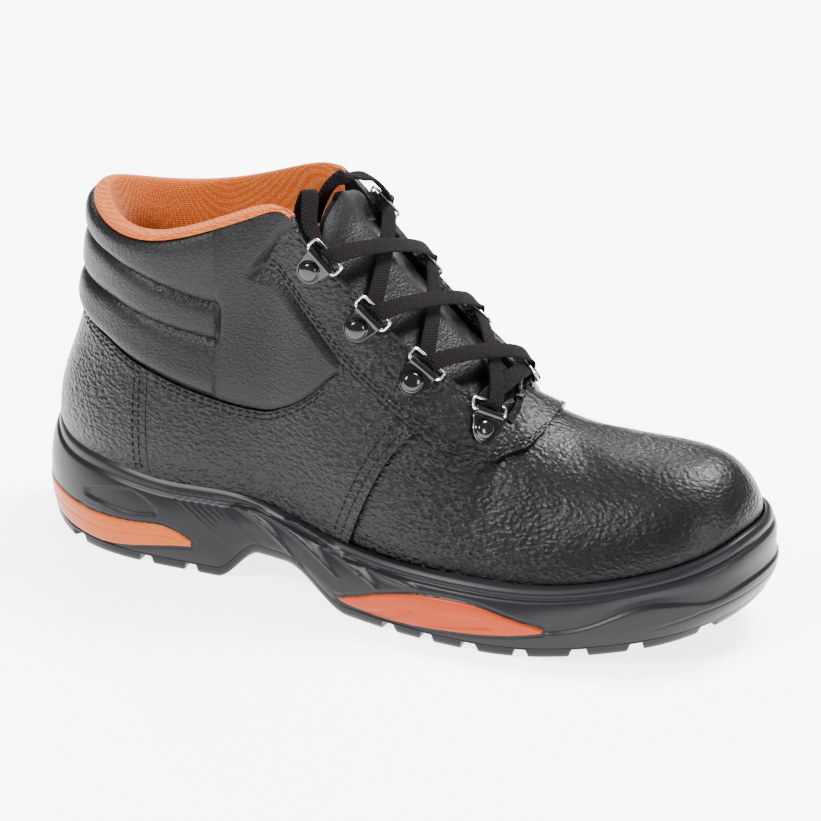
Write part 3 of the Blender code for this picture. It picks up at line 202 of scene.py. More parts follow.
# crown, throat edge and collar edge: rows times the sizes, splined, and leant in at the toe
def topLine(u):
    x = (topRows[:, 0] - 0.5) * shoe["length"]
    y = topRows[:, 1] * shoe["throatGap"] + topRows[:, 2] * shoe["collarWidth"]
    z = (topRows[:, 3] * shoe["toeHeight"] + topRows[:, 4] * shoe["instepHeight"]
         + topRows[:, 5] * shoe["collarHeight"])
    place = topPlace(u)
    line = np.stack([x, y, z], axis=-1)
    beyond = line[[-2, -3]] * np.array([1.0, -1.0, 1.0])
    p = spline(np.concatenate([line, beyond]), place)
    side = np.where(np.mod(u, roundCount) > half, 1.0, -1.0)
    p[..., 1] = np.where(place <= throatRow, 0.0, np.maximum(p[..., 1], 0.0)) * side
    p[..., 1] += crownLean * shoe["ballWidth"] * smooth(0.6, 0.9, along(p[..., 0]))
    return p


# foot of the upper: the sole's outline moved in, at the board's height
def footLine(u):
    p = outline(u) - outward(u) * shoe["lastInset"]
    return np.stack([p[..., 0], p[..., 1], seatHeight(along(p[..., 0]))], axis=-1)


# bell round a centre, faded out at both ends of the wall
def bump(v, centre, width):
    ends = np.clip(6 * v, 0, 1) * np.clip(6 * (1 - v), 0, 1)
    return np.exp(-((v - centre) / width) ** 2) * ends


# upper: superellipse arch (vault) blended with an upright wall, plus bulge and hollow
def upperSurface(u, v):
    u, v = np.broadcast_arrays(np.asarray(u, float), np.asarray(v, float))
    foot, top = footLine(u), topLine(u)
    vault, power = station(4, u), 2.0 / station(5, u)
    angle = np.clip(v, 0.0, 1.0) * np.pi / 2
    inward = vault * (1 - np.cos(angle) ** power) + (1 - vault) * smooth(-0.1, 1.0, v)
    rise = vault * np.sin(angle) ** power + (1 - vault) * v
    swell = station(6, u) * bump(v, 0.26, 0.22) - station(7, u) * bump(v, 0.66, 0.2)
    level = foot[..., :2] + (top - foot)[..., :2] * inward[..., None]
    level = level + outward(u) * (shoe["heelWidth"] * swell)[..., None]
    height = foot[..., 2] + (top - foot)[..., 2] * rise
    return np.concatenate([level, height[..., None]], axis=-1)


places = np.linspace(4.0, 8.0, 4001)
throatFront = float(np.interp(throatRow, topPlace(places), places))
shiftY = -0.5 * float(outline(np.linspace(0.0, roundCount, 2001))[:, 1].min()
                      + outline(np.linspace(0.0, roundCount, 2001))[:, 1].max())
shift = np.array([0.0, shiftY, 0.0])


# normal of the upper from two numeric differences, the mean of both halves on the crown
def surfaceNormal(u, v):
    u, v = np.broadcast_arrays(np.asarray(u, float), np.asarray(v, float))

    def normal(place):
        inner = np.clip(v, 0.01, 0.985)
        across = upperSurface(place + 1e-3, inner) - upperSurface(place - 1e-3, inner)
        up = upperSurface(place, inner + 1e-3) - upperSurface(place, inner - 1e-3)
        return unit(np.cross(up, across))

    share = 0.5 * smooth(0.85, 1.0, v) * (fold(u) <= throatFront + 1e-6)
    return unit(normal(u) * (1 - share)[..., None] + normal(roundCount - u) * share[..., None])


# a point of the upper moved out along its normal
def overUpper(u, v, distance):
    return upperSurface(u, v) + surfaceNormal(u, v) * np.asarray(distance)[..., None]


# place v where each column of the upper reaches the heights z
def placeAtHeight(u, z):
    levels = np.linspace(0.0, 1.0, 161)
    heights = upperSurface(np.asarray(u)[:, None], levels[None, :])[..., 2]
    z = np.atleast_2d(z)
    return np.array([np.interp(z[:, k], heights[k], levels) for k in range(len(u))]).T


# top of the sole's rim: its share at that station times the full height
def rimHeight(u):
    return sole["rimHeight"] * station(8, u)


# side of the sole: the outline less a power curve at the floor and one at the rim, pushed out
# where the upper needs room for the lip
def soleSide(u, z):
    p = outline(u)[None] + 0 * z[..., None]
    low, top = floorHeight(along(outline(u)[:, 0])), rimHeight(u)
    h = np.clip((z - low) / (top - low), 0.0, 1.0)
    t = along(outline(u)[:, 0])
    inset = sole["undercut"] * (1 + 0.9 * smooth(0.86, 1.0, t)) * np.clip(1 - h / 0.4, 0, 1) ** 1.7
    inset = inset + sole["rimInset"] * np.clip((h - 0.5) / 0.5, 0, 1) ** 2
    n = outward(u)[None]
    q = p - n * inset[..., None]
    inner = overUpper(u[None] + 0 * z, placeAtHeight(u, z), shoe["gap"] + 0 * z)[..., :2]
    room = np.sum((q - inner) * n, axis=-1)
    need = np.where(z > footLine(u)[:, 2], np.maximum(sole["lip"] - room, 0.0), 0.0)
    q = q + n * need[..., None]
    return np.concatenate([q, z[..., None]], axis=-1)


print("stage: shapes ready")


# view fitted to the photograph: degrees, metres, focal length and frame in its pixels
photoView = dict(turn=18.95, drop=24.43, roll=2.15, distance=1.183, target=(0.0015, shiftY, 0.0685),
                 focal=2976, frame=821, sensor=36.0)


# camera at a distance from the target, its axes from the two angles and the roll
def makeCamera():
    turn, drop, roll = [math.radians(photoView[key]) for key in ("turn", "drop", "roll")]
    look = Vector((-math.sin(turn) * math.cos(drop), math.cos(turn) * math.cos(drop),
                   -math.sin(drop)))
    right = Vector((math.cos(turn), math.sin(turn), 0.0))
    up = right.cross(look)
    across = math.cos(roll) * right + math.sin(roll) * up
    upward = -math.sin(roll) * right + math.cos(roll) * up
    spot = Vector(photoView["target"]) - photoView["distance"] * look
    data = bpy.data.cameras.new("photoCamera")
    data.sensor_width = photoView["sensor"]
    data.lens = photoView["focal"] / photoView["frame"] * photoView["sensor"]
    data.clip_end = 20.0
    camera = bpy.data.objects.new("photoCamera", data)
    camera.matrix_world = Matrix(((across.x, upward.x, -look.x, spot.x),
                                  (across.y, upward.y, -look.y, spot.y),
                                  (across.z, upward.z, -look.z, spot.z), (0, 0, 0, 1)))
    bpy.context.scene.collection.objects.link(camera)
    bpy.context.scene.camera = camera


makeCamera()


# sRGB hex to a linear colour
def colour(code):
    parts = [int(code[k:k + 2], 16) / 255 for k in (1, 3, 5)]
    return [c / 12.92 if c <= 0.04045 else ((c + 0.055) / 1.055) ** 2.4 for c in parts] + [1.0]


# one node with its settings and links
def node(tree, kind, settings=None, **links):
    made = tree.nodes.new("ShaderNode" + kind)
    for key, value in (settings or {}).items():
        if isinstance(key, str) and hasattr(made, key):
            setattr(made, key, value)
        else:
            made.inputs[key].default_value = value
    for key, source in links.items():
        name = int(key[1:]) if key[0] == "_" else key.replace("_", " ")
        tree.links.new(source, made.inputs[name])
    return made


# material with its even values on the shader's own sockets
def newMaterial(name, roughness, metallic=0.0, coat=0.0, coatRough=0.2, sheen=0.0, shine=0.13):
    made = bpy.data.materials.new(name)
    made.use_nodes = True
    shader = made.node_tree.nodes["Principled BSDF"]
    for key, value in (("Roughness", roughness), ("Metallic", metallic),
                       ("Specular IOR Level", shine), ("Coat Weight", coat),
                       ("Coat Roughness", coatRough), ("Sheen Weight", sheen)):
        shader.inputs[key].default_value = value
    return made, made.node_tree, shader


# a surface's finish: tone between two colours by a factor, and a relief of some depth by a height
def addFinish(tree, shader, factor, first, second, height, depth, **more):
    tone = node(tree, "Mix", {"data_type": "RGBA", 6: colour(first), 7: colour(second)},
                _0=factor)
    tree.links.new(tone.outputs[2], shader.inputs["Base Color"])
    raised = node(tree, "Bump", {"Distance": depth, **more}, Height=height)
    tree.links.new(raised.outputs[0], shader.inputs["Normal"])
    return raised


# pebbled leather: rounded cells about cell metres across, stretched lengthwise and broken up by
# noise; the relief sinks to the share toe towards the front of the shoe
def leatherMaterial(name, dark, light, cell, depth, roughness, shine, toe=1.0):
    made, tree, shader = newMaterial(name, roughness, shine=shine)
    place = node(tree, "TexCoord").outputs["Object"]
    warp = node(tree, "TexNoise", {"Scale": 0.5 / cell, "Detail": 3.0}, Vector=place)
    moved = node(tree, "VectorMath", {"operation": "MULTIPLY_ADD", 1: (cell * 1.6,) * 3})
    tree.links.new(warp.outputs["Color"], moved.inputs[0])
    tree.links.new(place, moved.inputs[2])
    longer = node(tree, "VectorMath", {"operation": "MULTIPLY", 1: (0.72, 1.0, 1.12)},
                  _0=moved.outputs[0])
    cells = node(tree, "TexVoronoi", {"feature": "SMOOTH_F1", "Scale": 1 / cell,
                                      "Smoothness": 0.25}, Vector=longer.outputs[0])
    pebble = node(tree, "MapRange", {"From Min": 0.75, "From Max": 0.05},
                  Value=cells.outputs["Distance"])
    fine = node(tree, "TexNoise", {"Scale": 1.6 / cell, "Detail": 4.0}, Vector=longer.outputs[0])
    height = node(tree, "Math", {"operation": "MULTIPLY_ADD", 1: 0.7}, _0=fine.outputs["Fac"],
                  _2=pebble.outputs["Result"])
    front = node(tree, "SeparateXYZ", Vector=place)
    fall = node(tree, "MapRange", {"interpolation_type": "SMOOTHSTEP", "From Min": 0.02,
                                   "From Max": 0.09, "To Min": 1.0, "To Max": toe},
                Value=front.outputs["X"])
    patches = node(tree, "TexNoise", {"Scale": 38.0, "Detail": 3.0}, Vector=place)  # 26 mm wide
    # the tone: random patches times the pebble's height, so each pebble's top is painted lighter as
    # a painted glint and the creases between pebbles are painted darker as painted shade
    patchToneAndPaintedGlint = node(tree, "Math", {"operation": "MULTIPLY"}, _0=patches.outputs["Fac"],
                _1=pebble.outputs["Result"])
    raised = addFinish(tree, shader, patchToneAndPaintedGlint.outputs[0], dark, light, height.outputs[0], depth)
    tree.links.new(fall.outputs["Result"], raised.inputs["Strength"])
    gloss = node(tree, "MapRange", {"To Min": roughness + 0.1, "To Max": roughness - 0.08},
                 Value=patchToneAndPaintedGlint.outputs[0])
    tree.links.new(gloss.outputs["Result"], shader.inputs["Roughness"])
    return made


# woven or knitted cloth: a grid of small knots size metres apart
def clothMaterial(name, dark, light, size, depth, sheen):
    made, tree, shader = newMaterial(name, 0.9, sheen=sheen)
    place = node(tree, "TexCoord").outputs["Object"]
    knots = node(tree, "TexVoronoi", {"Scale": 1 / size, "Randomness": 0.25}, Vector=place)
    dots = node(tree, "MapRange", {"interpolation_type": "SMOOTHSTEP", "From Min": 0.1,
                                   "From Max": 0.62}, Value=knots.outputs["Distance"])
    shade = node(tree, "TexNoise", {"Scale": 60.0, "Detail": 2.0}, Vector=place)  # 17 mm wide
    both = node(tree, "Math", {"operation": "MULTIPLY_ADD", 1: 0.45}, _0=shade.outputs["Fac"],
                _2=dots.outputs["Result"])
    addFinish(tree, shader, both.outputs[0], light, dark, dots.outputs["Result"], depth,
              Strength=0.8, invert=True)
    return made


# inside of the leather: orange cloth round the heel, dark cloth under the throat, mixed by x
def backingMaterial():
    made, tree, shader = newMaterial("insideBackingCloth", 0.9, shine=0.05)
    place = node(tree, "TexCoord").outputs["Object"]
    front = node(tree, "SeparateXYZ", Vector=place)
    fall = node(tree, "MapRange", {"interpolation_type": "SMOOTHSTEP", "From Min": -0.07,
                                   "From Max": -0.05}, Value=front.outputs["X"])
    knots = node(tree, "TexVoronoi", {"Scale": 1100.0}, Vector=place)  # threads 0.9 mm apart
    addFinish(tree, shader, fall.outputs["Result"], "#98450f", "#0c0b0d",
              knots.outputs["Distance"], 0.2 * mm, Strength=0.6)
    return made


# moulded rubber: an even satin; the mould's grit is drawn 0.67 mm coarse so that it shows, and
# wear in the tone runs over 40 mm
def rubberMaterial(name, dark, light, roughness):
    made, tree, shader = newMaterial(name, roughness)
    place = node(tree, "TexCoord").outputs["Object"]
    fine = node(tree, "TexNoise", {"Scale": 1500.0, "Detail": 3.0}, Vector=place)
    broad = node(tree, "TexNoise", {"Scale": 25.0, "Detail": 4.0}, Vector=place)
    addFinish(tree, shader, broad.outputs["Fac"], dark, light, fine.outputs["Fac"], 0.05 * mm,
              Strength=0.35)
    return made


# flat polyester braid: dull, ribbed slantwise; two crossing waves on the strip's own UV in
# metres, drawn coarser than the real threads so that they show
def braidMaterial(name, dark, light):
    made, tree, shader = newMaterial(name, 0.85, shine=0.05)
    uv = node(tree, "UVMap").outputs["UV"]
    heights = []
    for turn in (0.9, -0.9):
        spun = node(tree, "Mapping", {"Rotation": (0.0, 0.0, turn)}, Vector=uv)
        wave = node(tree, "TexWave", {"Scale": 260.0, "Distortion": 0.4}, Vector=spun.outputs[0])
        heights.append(wave.outputs["Fac"])
    weave = node(tree, "Math", {"operation": "MULTIPLY"}, _0=heights[0], _1=heights[1])
    addFinish(tree, shader, weave.outputs[0], dark, light, weave.outputs[0], 0.35 * mm,
              Strength=0.9)
    return made


# plated wire or lacquered steel: hard small highlights, dulled unevenly over 2.5 mm patches
def metalMaterial(name, code, metallic, roughness, coat=0.0):
    made, tree, shader = newMaterial(name, roughness, metallic, coat=coat, coatRough=0.08)
    place = node(tree, "TexCoord").outputs["Object"]
    smear = node(tree, "TexNoise", {"Scale": 400.0, "Detail": 3.0}, Vector=place)
    shader.inputs["Base Color"].default_value = colour(code)
    gloss = node(tree, "MapRange", {"To Min": roughness * 0.7, "To Max": roughness * 1.3},
                 Value=smear.outputs["Fac"])
    tree.links.new(gloss.outputs["Result"], shader.inputs["Roughness"])
    return made


skins = {
    # printed cow leather: deep satin black, each pebble's top painted lighter as a painted glint
    # and the creases painted darker as painted shade, smoother over the toe
    "leather": leatherMaterial("pebbledLeather", "#020202", "#09090a", 1.8 * mm, 0.42 * mm, 0.33,
                               0.17, 0.4),
    "backing": backingMaterial(),
    # polyurethane-coated cloth: greyer than the leather, finely grained, with the same painted
    # glint on each grain's top and painted shade in the creases
    "collar": leatherMaterial("coatedCuffCloth", "#0a090b", "#141316", 1.0 * mm, 0.14 * mm, 0.36,
                              0.15),
    # knitted polyester mesh: bright orange with small dark gaps
    "lining": clothMaterial("orangeLiningMesh", "#8c3c0c", "#c67a36", 0.85 * mm, 0.22 * mm, 0.1),
    "sole": rubberMaterial("moldedSoleRubber", "#0d0c0f", "#161518", 0.36),
    # the same rubber dyed through, the heel's a little lighter
    "insert": rubberMaterial("orangeSoleRubber", "#7c2606", "#8a2f09", 0.36),
    "heelInsert": rubberMaterial("lighterOrangeRubber", "#8a3c0a", "#9a4810", 0.36),
    "lace": braidMaterial("braidedLace", "#080707", "#1d191a"),
    "thread": braidMaterial("blackThread", "#0b0b0c", "#1a191b"),
    "clip": metalMaterial("blackLacquer", "#0c0c0d", 0.35, 0.2, coat=0.6),
    "wire": metalMaterial("brightWire", "#c9c0c6", 1.0, 0.22),
}


# quads of a grid of rows by columns; wrap joins the last column to the first
def gridFaces(rows, columns, wrap=False, flip=False, start=0):
    j, i = np.meshgrid(np.arange(rows - 1), np.arange(columns if wrap else columns - 1),
                       indexing="ij")
    n = (i + 1) % columns
    faces = np.stack([j * columns + i, j * columns + n, (j + 1) * columns + n,
                      (j + 1) * columns + i], axis=-1).reshape(-1, 4)
    return (faces[:, ::-1] if flip else faces) + start


# closed skin between two grids: both faces and strips round the open edges
def closedSkin(outer, inner, wrap=False):
    rows, columns = outer.shape[:2]
    count = rows * columns
    index = np.arange(count).reshape(rows, columns)
    faces = [gridFaces(rows, columns, wrap), gridFaces(rows, columns, wrap, True, count)]
    lines = [(index[0], wrap), (index[-1][::-1], wrap)]
    if not wrap:
        lines += [(index[::-1, 0], False), (index[:, -1], False)]
    for line, closed in lines:
        a, b = (line, np.roll(line, -1)) if closed else (line[:-1], line[1:])
        faces.append(np.stack([b, a, a + count, b + count], axis=-1))
    return np.concatenate([outer.reshape(-1, 3), inner.reshape(-1, 3)]), np.concatenate(faces)


# mesh object in the part's frame, welded, smooth with sharp edges, riding on the root
def makePiece(name, parts, skin, nodes=(), uv=None, angle=45, turn=True, extra=()):
    points, faces, start = [], [], 0
    for p, f in parts:
        points.append(p)
        faces += f if isinstance(f, list) else (f + start).tolist()
        start += len(p)
    mesh = bpy.data.meshes.new(name)
    mesh.from_pydata((np.concatenate(points) + shift).tolist(), [], faces)
    if uv is not None:
        layer = mesh.uv_layers.new(name="UVMap")
        corner = np.empty(len(mesh.loops), int)
        mesh.loops.foreach_get("vertex_index", corner)
        layer.data.foreach_set("uv", np.asarray(uv, float)[corner].ravel())
    work = bmesh.new()
    work.from_mesh(mesh)
    bmesh.ops.remove_doubles(work, verts=work.verts, dist=2e-6)
    if turn:
        bmesh.ops.recalc_face_normals(work, faces=work.faces)
    work.to_mesh(mesh)
    work.free()
    mesh.shade_smooth()
    mesh.set_sharp_from_angle(angle=math.radians(angle))
    for key in (skin,) + tuple(extra):
        mesh.materials.append(skins[key])
    made = bpy.data.objects.new(name, mesh)
    bpy.context.scene.collection.objects.link(made)
    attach(made, "root")
    if nodes:
        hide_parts(*nodes)
    return made


# open sheet given as grids, thickened inwards, with its rim rounded
def makeSheet(name, grids, thick, skin, nodes, rim, extra=()):
    parts = [(g.reshape(-1, 3), gridFaces(g.shape[0], g.shape[1], wrap, flip))
             for g, wrap, flip in grids]
    made = makePiece(name, parts, skin, nodes, turn=False, extra=extra)
    solid = made.modifiers.new("wall", "SOLIDIFY")
    solid.thickness, solid.offset = thick, -1.0
    solid.use_even_offset, solid.use_quality_normals = False, True
    if extra:
        solid.material_offset = 1
    if rim > 0:
        bevel = made.modifiers.new("rim", "BEVEL")
        bevel.width, bevel.segments, bevel.limit_method = rim, 3, "ANGLE"
        bevel.angle_limit = math.radians(60)
    return made


# superellipse rings along a path, as wide as across points and closed at both ends; the UV is
# metres across and along
def sweep(path, across, width, thick, power=0.55, sides=16):
    forward = unit(np.gradient(path, axis=0))
    across = unit(across - forward * np.sum(across * forward, axis=-1, keepdims=True))
    up = np.cross(across, forward)
    angle = 2 * np.pi * (np.arange(sides) + 0.5) / sides
    x = np.sign(np.cos(angle)) * np.abs(np.cos(angle)) ** power * 0.5 * width
    y = np.sign(np.sin(angle)) * np.abs(np.sin(angle)) ** power * 0.5 * thick
    rings = path[:, None] + across[:, None] * x[:, None] + up[:, None] * y[:, None]
    uv = np.stack(np.broadcast_arrays(x, walked(path)[:, None]), axis=-1)
    rings = np.concatenate([np.broadcast_to(path[:1, None], rings[:1].shape), rings,
                            np.broadcast_to(path[-1:, None], rings[:1].shape)])
    uv = np.concatenate([uv[:1], uv, uv[-1:]]).reshape(-1, 2)
    return rings.reshape(-1, 3), gridFaces(len(rings), sides, True), uv


# round wire: circles about a closed path, the first repeated at the end
def loopWire(path, lift, radius, sides=14):
    forward = unit(np.roll(path, -1, axis=0) - np.roll(path, 1, axis=0))
    across = unit(np.cross(forward, lift))
    up = np.cross(across, forward)
    angle = 2 * np.pi * np.arange(sides) / sides
    rings = path[:, None] + radius * (across[:, None] * np.cos(angle)[:, None]
                                      + up[:, None] * np.sin(angle)[:, None])
    rings = np.concatenate([rings, rings[:1]])
    return rings.reshape(-1, 3), gridFaces(len(rings), sides, True)


# fastening: places of the rivets toe to ankle, sizes of clip, ring and lace
clip = dict(places=((6.38, 0.765), (6.98, 0.8), (7.62, 0.84), (8.18, 0.895)), radius=5.2 * mm,
            plate=0.9 * mm, base=2.5 * mm, reach=6.6 * mm, loop=12.0 * mm, outer=1.7 * mm,
            inner=0.8 * mm, rivet=3.9 * mm, dome=2.3 * mm, flare=1.5 * mm)
ring = dict(wire=1.3 * mm, width=15 * mm, length=5.0 * mm, lean=0.7, corner=1.5 * mm)
lace = dict(width=6.8 * mm, thick=1.6 * mm, apart=2.0 * mm, arch=3.8 * mm, over=1.7 * mm,
            under=-0.3 * mm)
throatNormal = np.array([0.618, 0.0, 0.786])


# rivet place with directions along the throat edge, towards it, and out of the eyestay
def clipFrame(u, v, mirror):
    place = roundCount - u if mirror else u
    spot = overUpper(place, v, clip["base"])
    near = place + np.linspace(-0.35, 0.35, 61)
    edge = overUpper(near, np.ones_like(near), clip["base"] + 0 * near)
    toward = unit(edge[np.argmin(np.linalg.norm(edge - spot, axis=-1))] - spot)
    n = surfaceNormal(place, 0.5 * (v + 1.0))
    n = unit(n - toward * np.dot(toward, n))
    return spot, np.cross(toward, n), toward, n


# pin, side and lean of one ring: it hangs from the clip's loop over the throat
def ringFrame(u, v, mirror):
    spot, side, toward, n = clipFrame(u, v, mirror)
    pin = spot + toward * clip["reach"] + n * (clip["outer"] - 0.05 * mm)
    inward = np.array([0.0, -1.0 if mirror else 1.0, 0.0])
    return pin, side, unit(toward + ring["lean"] * (inward - side * np.dot(inward, side)))


bars = {}
for mirrored in (False, True):
    for k, (placeU, placeV) in enumerate(clip["places"]):
        pin, side, lean = ringFrame(placeU, placeV, mirrored)
        side = side if side[0] > 0 else -side
        up = np.cross(side, lean)
        up = up if np.dot(up, throatNormal) > 0 else -up
        bars["F" if mirrored else "N", 4 - k] = (pin + lean * ring["length"], side, lean, up)


# lace through the rings: half turns round each bar joined by arched crossings
def lacePath():
    order = (("N", 1, 1, None, 0), ("F", 2, 1, -1, lace["over"]), ("N", 3, -1, 1, lace["under"]),
             ("F", 4, 1, -1, lace["over"]), ("N", 4, -1, 1, 0), ("F", 3, -1, 1, lace["under"]),
             ("N", 2, 1, -1, lace["over"]), ("F", 1, -1, 1, lace["under"]))
    reach = 0.5 * (ring["wire"] + lace["thick"]) + 0.12 * mm
    path, width, last = [], [], None
    for bank, number, arrive, leave, rise in order:
        centre, side, lean, up = bars[bank, number]
        turn = np.linspace(0.0, 1.0, 13)
        if leave is None:
            angles = np.pi * 1.5 - np.pi * turn
            slide = lace["apart"] * (2 * turn - 1)
        else:
            angles = np.pi * 0.5 + np.pi * turn if arrive > 0 else np.pi * 1.5 - np.pi * turn
            slide = lace["apart"] * (1 - 2 * turn) * (1 if arrive > 0 else -1)
            if bank == "F":
                slide = -slide
        arc = centre + reach * (lean * np.cos(angles)[:, None] + up * np.sin(angles)[:, None])
        arc = arc + side * slide[:, None]
        if last is not None:
            s = np.linspace(0.0, 1.0, 26)[1:-1, None]
            hop = last * (1 - s) + arc[0] * s
            hop = hop + throatNormal * (lace["arch"] + rise) * (4 * s * (1 - s)) ** 0.7
            cross = unit(np.cross(unit(arc[0] - last), throatNormal))
            cross = cross if cross[0] > 0 else -cross
            path.append(hop)
            width.append(np.broadcast_to(cross, hop.shape))
        path.append(arc)
        width.append(np.broadcast_to(side, arc.shape))
        last = arc[-1]
    path, width = np.concatenate(path), np.concatenate(width)
    for _ in range(3):
        width[1:-1] = (width[:-2] + 2 * width[1:-1] + width[2:]) / 4
        path[1:-1] = (path[:-2] + 6 * path[1:-1] + path[2:]) / 8
    return path, width


# loose ends: from the top rings back over the tongue's edge into the boot
def makeLaceEnds():
    marks = {"N": ((121.0, -28.0, 151.0), (118.5, -22.5, 158.0), (116.0, -17.5, 161.0),
                   (112.5, -15.0, 155.0), (110.0, -14.0, 143.0)),
             "F": ((132.0, 24.0, 150.0), (129.4, 15.0, 157.8), (126.5, 7.0, 160.8),
                   (121.0, 0.0, 161.0), (116.0, -3.0, 153.0), (113.0, -4.0, 143.0))}
    path, _ = lacePath()
    for name, bank, start, ahead in (("laceEndNear", "N", path[0], path[1]),
                                     ("laceEndFar", "F", path[-1], path[-2])):
        line = np.array(marks[bank]) * mm - np.array([0.5 * shoe["length"], 0.0, 0.0])
        begin = start + (start - ahead) * 0.3
        line = np.concatenate([[begin], line])
        line = spline(line, np.linspace(0, len(line) - 1, 49))
        side = bars[bank, 1][1]
        across = np.broadcast_to(side, line.shape) + 0.0
        tilt = smooth(0.0, 1.0, np.linspace(0, 1, 49))[:, None]
        across = across * (1 - tilt) + np.array([0.5, 0.8, 0.3]) * tilt
        points, faces, uv = sweep(line, across, lace["width"] * 0.96, lace["thick"])
        made = makePiece(name, [(points, faces)], "lace",
                         ("lace_end_near" if bank == "N" else "lace_end_far",), uv)


makeLaceEnds()
path, width = lacePath()
points, faces, uv = sweep(path, width, lace["width"], lace["thick"])
makePiece("laceCrossed", [(points, faces)], "lace",
          ("lace_crossing_1", "lace_crossing_2", "lace_crossing_3", "lace_bar"), uv)
print("stage: laces")

# soft troughs and ridges: start u, v, end u, v, width mm, height mm
folds = np.array((
    (5.05, 0.93, 4.2, 0.62, 7.0, -0.5), (4.8, 0.97, 3.95, 0.7, 8.0, 0.35),
    (5.62, 0.46, 4.7, 0.3, 9.0, -0.35), (6.6, 0.52, 6.2, 0.2, 8.0, -0.4),
    (7.3, 0.55, 7.7, 0.18, 9.0, 0.4), (8.05, 0.36, 8.6, 0.12, 8.0, -0.4),
    (9.2, 0.3, 9.6, 0.1, 9.0, 0.35), (8.5, 0.33, 9.7, 0.4, 6.0, -0.3),
    (10.6, 0.42, 10.9, 0.16, 9.0, -0.35), (11.8, 0.5, 12.4, 0.24, 10.0, 0.3)))


# bell curve across each fold line, faded at its ends, summed
def relief(u, v):
    u, v = np.broadcast_arrays(np.asarray(u, float), np.asarray(v, float))
    place, total = fold(u), np.zeros(u.shape)
    side = np.where(np.mod(u, roundCount) > half, 0.7, 1.0)
    for u0, v0, u1, v1, width, height in folds:
        a, b = np.array([u0 * placeRun, v0 * wallRun]), np.array([u1 * placeRun, v1 * wallRun])
        d = b - a
        x, y = place * placeRun - a[0], v * wallRun - a[1]
        s = np.clip((x * d[0] + y * d[1]) / np.dot(d, d), 0, 1)
        gone = np.hypot(x - s * d[0], y - s * d[1])
        ends = np.sin(np.pi * np.clip(s, 0.06, 0.94))
        total += height * mm * np.exp(-(gone / width) ** 2) * ends * side
    return total * np.clip(8 * (1 - v), 0, 1)


# the upper moved out by a height and the soft relief
def skinPoint(u, v, height):
    return overUpper(u, v, height + relief(u, v))


# metres up the wall for one unit of v: a numeric difference over a small step
def tallness(u, v):
    step = 1e-3
    above = np.clip(v + step, 0, 1)
    rise = np.linalg.norm(upperSurface(u, above) - upperSurface(u, v - step), axis=-1)
    return rise / (above - v + step)


# rows from 0 to 1 that crowd at both ends: even rows mixed with a cosine
def edgeRows(count, near=0.5):
    s = np.linspace(0.0, 1.0, count)
    return (1 - near) * s + near * (0.5 - 0.5 * np.cos(np.pi * s))


# vamp and walls as one open sheet from the board to the top line
def makeUpper():
    side = np.concatenate([np.linspace(0, throatFront, 95),
                           np.linspace(throatFront, half, 110)[1:]])
    u = np.concatenate([side, roundCount - side[-2:0:-1]])[None, :]
    v = edgeRows(64)[:, None]
    makeSheet("leatherUpper", [(skinPoint(u, v, 0.0), True, True)], shoe["wall"], "leather",
              ("upper",), 0.0, ("backing",))


# outer edge of the eyestay, straight between its corners
def eyestayLine(u):
    return np.interp(u, eyestayEdge[:, 0], eyestayEdge[:, 1])


# the same edge with soft corners: mean over a small span of places
def eyestaySoft(u):
    return sum(eyestayLine(np.clip(u + 0.05 * k / 3, 5.2, 30.0)) for k in range(-3, 4)) / 7


# its upper edge: the throat's, then a straight line down to the rear corner
def eyestayTop(u):
    return np.interp(u, (8.36, 8.9), (1.0, 0.81))


# a table's column over place u, mean over a small span of places so that its corners are soft
def softRow(rows, u, column=1, span=0.16):
    places = np.linspace(-span, span, 9)
    return sum(np.interp(fold(u + d), rows[:, 0], rows[:, column]) for d in places) / 9


# lower edge of the cuff
def collarSeam(u):
    return softRow(collarSeamRows, u)


# panels: places of the quarters' front edge above and below, and of the seam behind; heights over
# the upper, thicknesses and rounding of the cut edge
panel = dict(frontTop=6.88, frontFoot=7.58, rear=10.238, counter=10.246, high=1.9 * mm,
             thick=1.75 * mm, eyestayHigh=2.4 * mm, eyestayThick=2.2 * mm, edge=0.5 * mm)


# panels lie a height over the upper, between a lower and an upper line of v read over u
def makePanels():
    u = np.concatenate([np.linspace(5.2, throatFront, 40), np.linspace(throatFront, 8.9, 130)[1:]])
    low, top = eyestaySoft(u), eyestayTop(u)
    low[0], low[-1] = 1.0, 0.81
    low = np.minimum(low, top)
    v = low + (top - low) * edgeRows(34)[:, None]
    u = np.broadcast_to(u, v.shape)
    parts = [(skinPoint(place, v, panel["eyestayHigh"]), False, flip)
             for place, flip in ((u, True), (roundCount - u, False))]
    makeSheet("eyestayPanel", parts, panel["eyestayThick"], "leather", ("eyestay",),
              0.6 * mm)
    r = edgeRows(60)[:, None]
    s = edgeRows(120, 0.3)
    upperU = panel["frontTop"] + (panel["rear"] - panel["frontTop"]) * s
    lowerU = panel["frontFoot"] + (panel["rear"] - panel["frontFoot"]) * s
    low = placeAtHeight(lowerU, (rimHeight(lowerU) + 0.2 * mm)[None, :])[0]
    edge = np.where(upperU < 7.8, eyestaySoft(upperU), collarSeam(upperU))
    top = np.minimum(edge, eyestaySoft(upperU)) - 0.006
    u, v = lowerU * (1 - r) + upperU * r, low * (1 - r) + top * r
    heelU = np.linspace(panel["counter"], roundCount - panel["counter"], 200)
    low = placeAtHeight(heelU, (rimHeight(heelU) + 0.2 * mm)[None, :])[0]
    heelV = low + (collarSeam(heelU) - 0.006 - low) * r
    for name, covered, place, level, flip in (
            ("quarterNear", "quarter_lateral", u, v, True),
            ("quarterFar", "quarter_medial", roundCount - u, v, False),
            ("heelCounter", "heel_counter", heelU[None] + 0 * heelV, heelV, True)):
        makeSheet(name, [(skinPoint(place, level, panel["high"]), False, flip)], panel["thick"],
                  "leather", (covered,), panel["edge"])


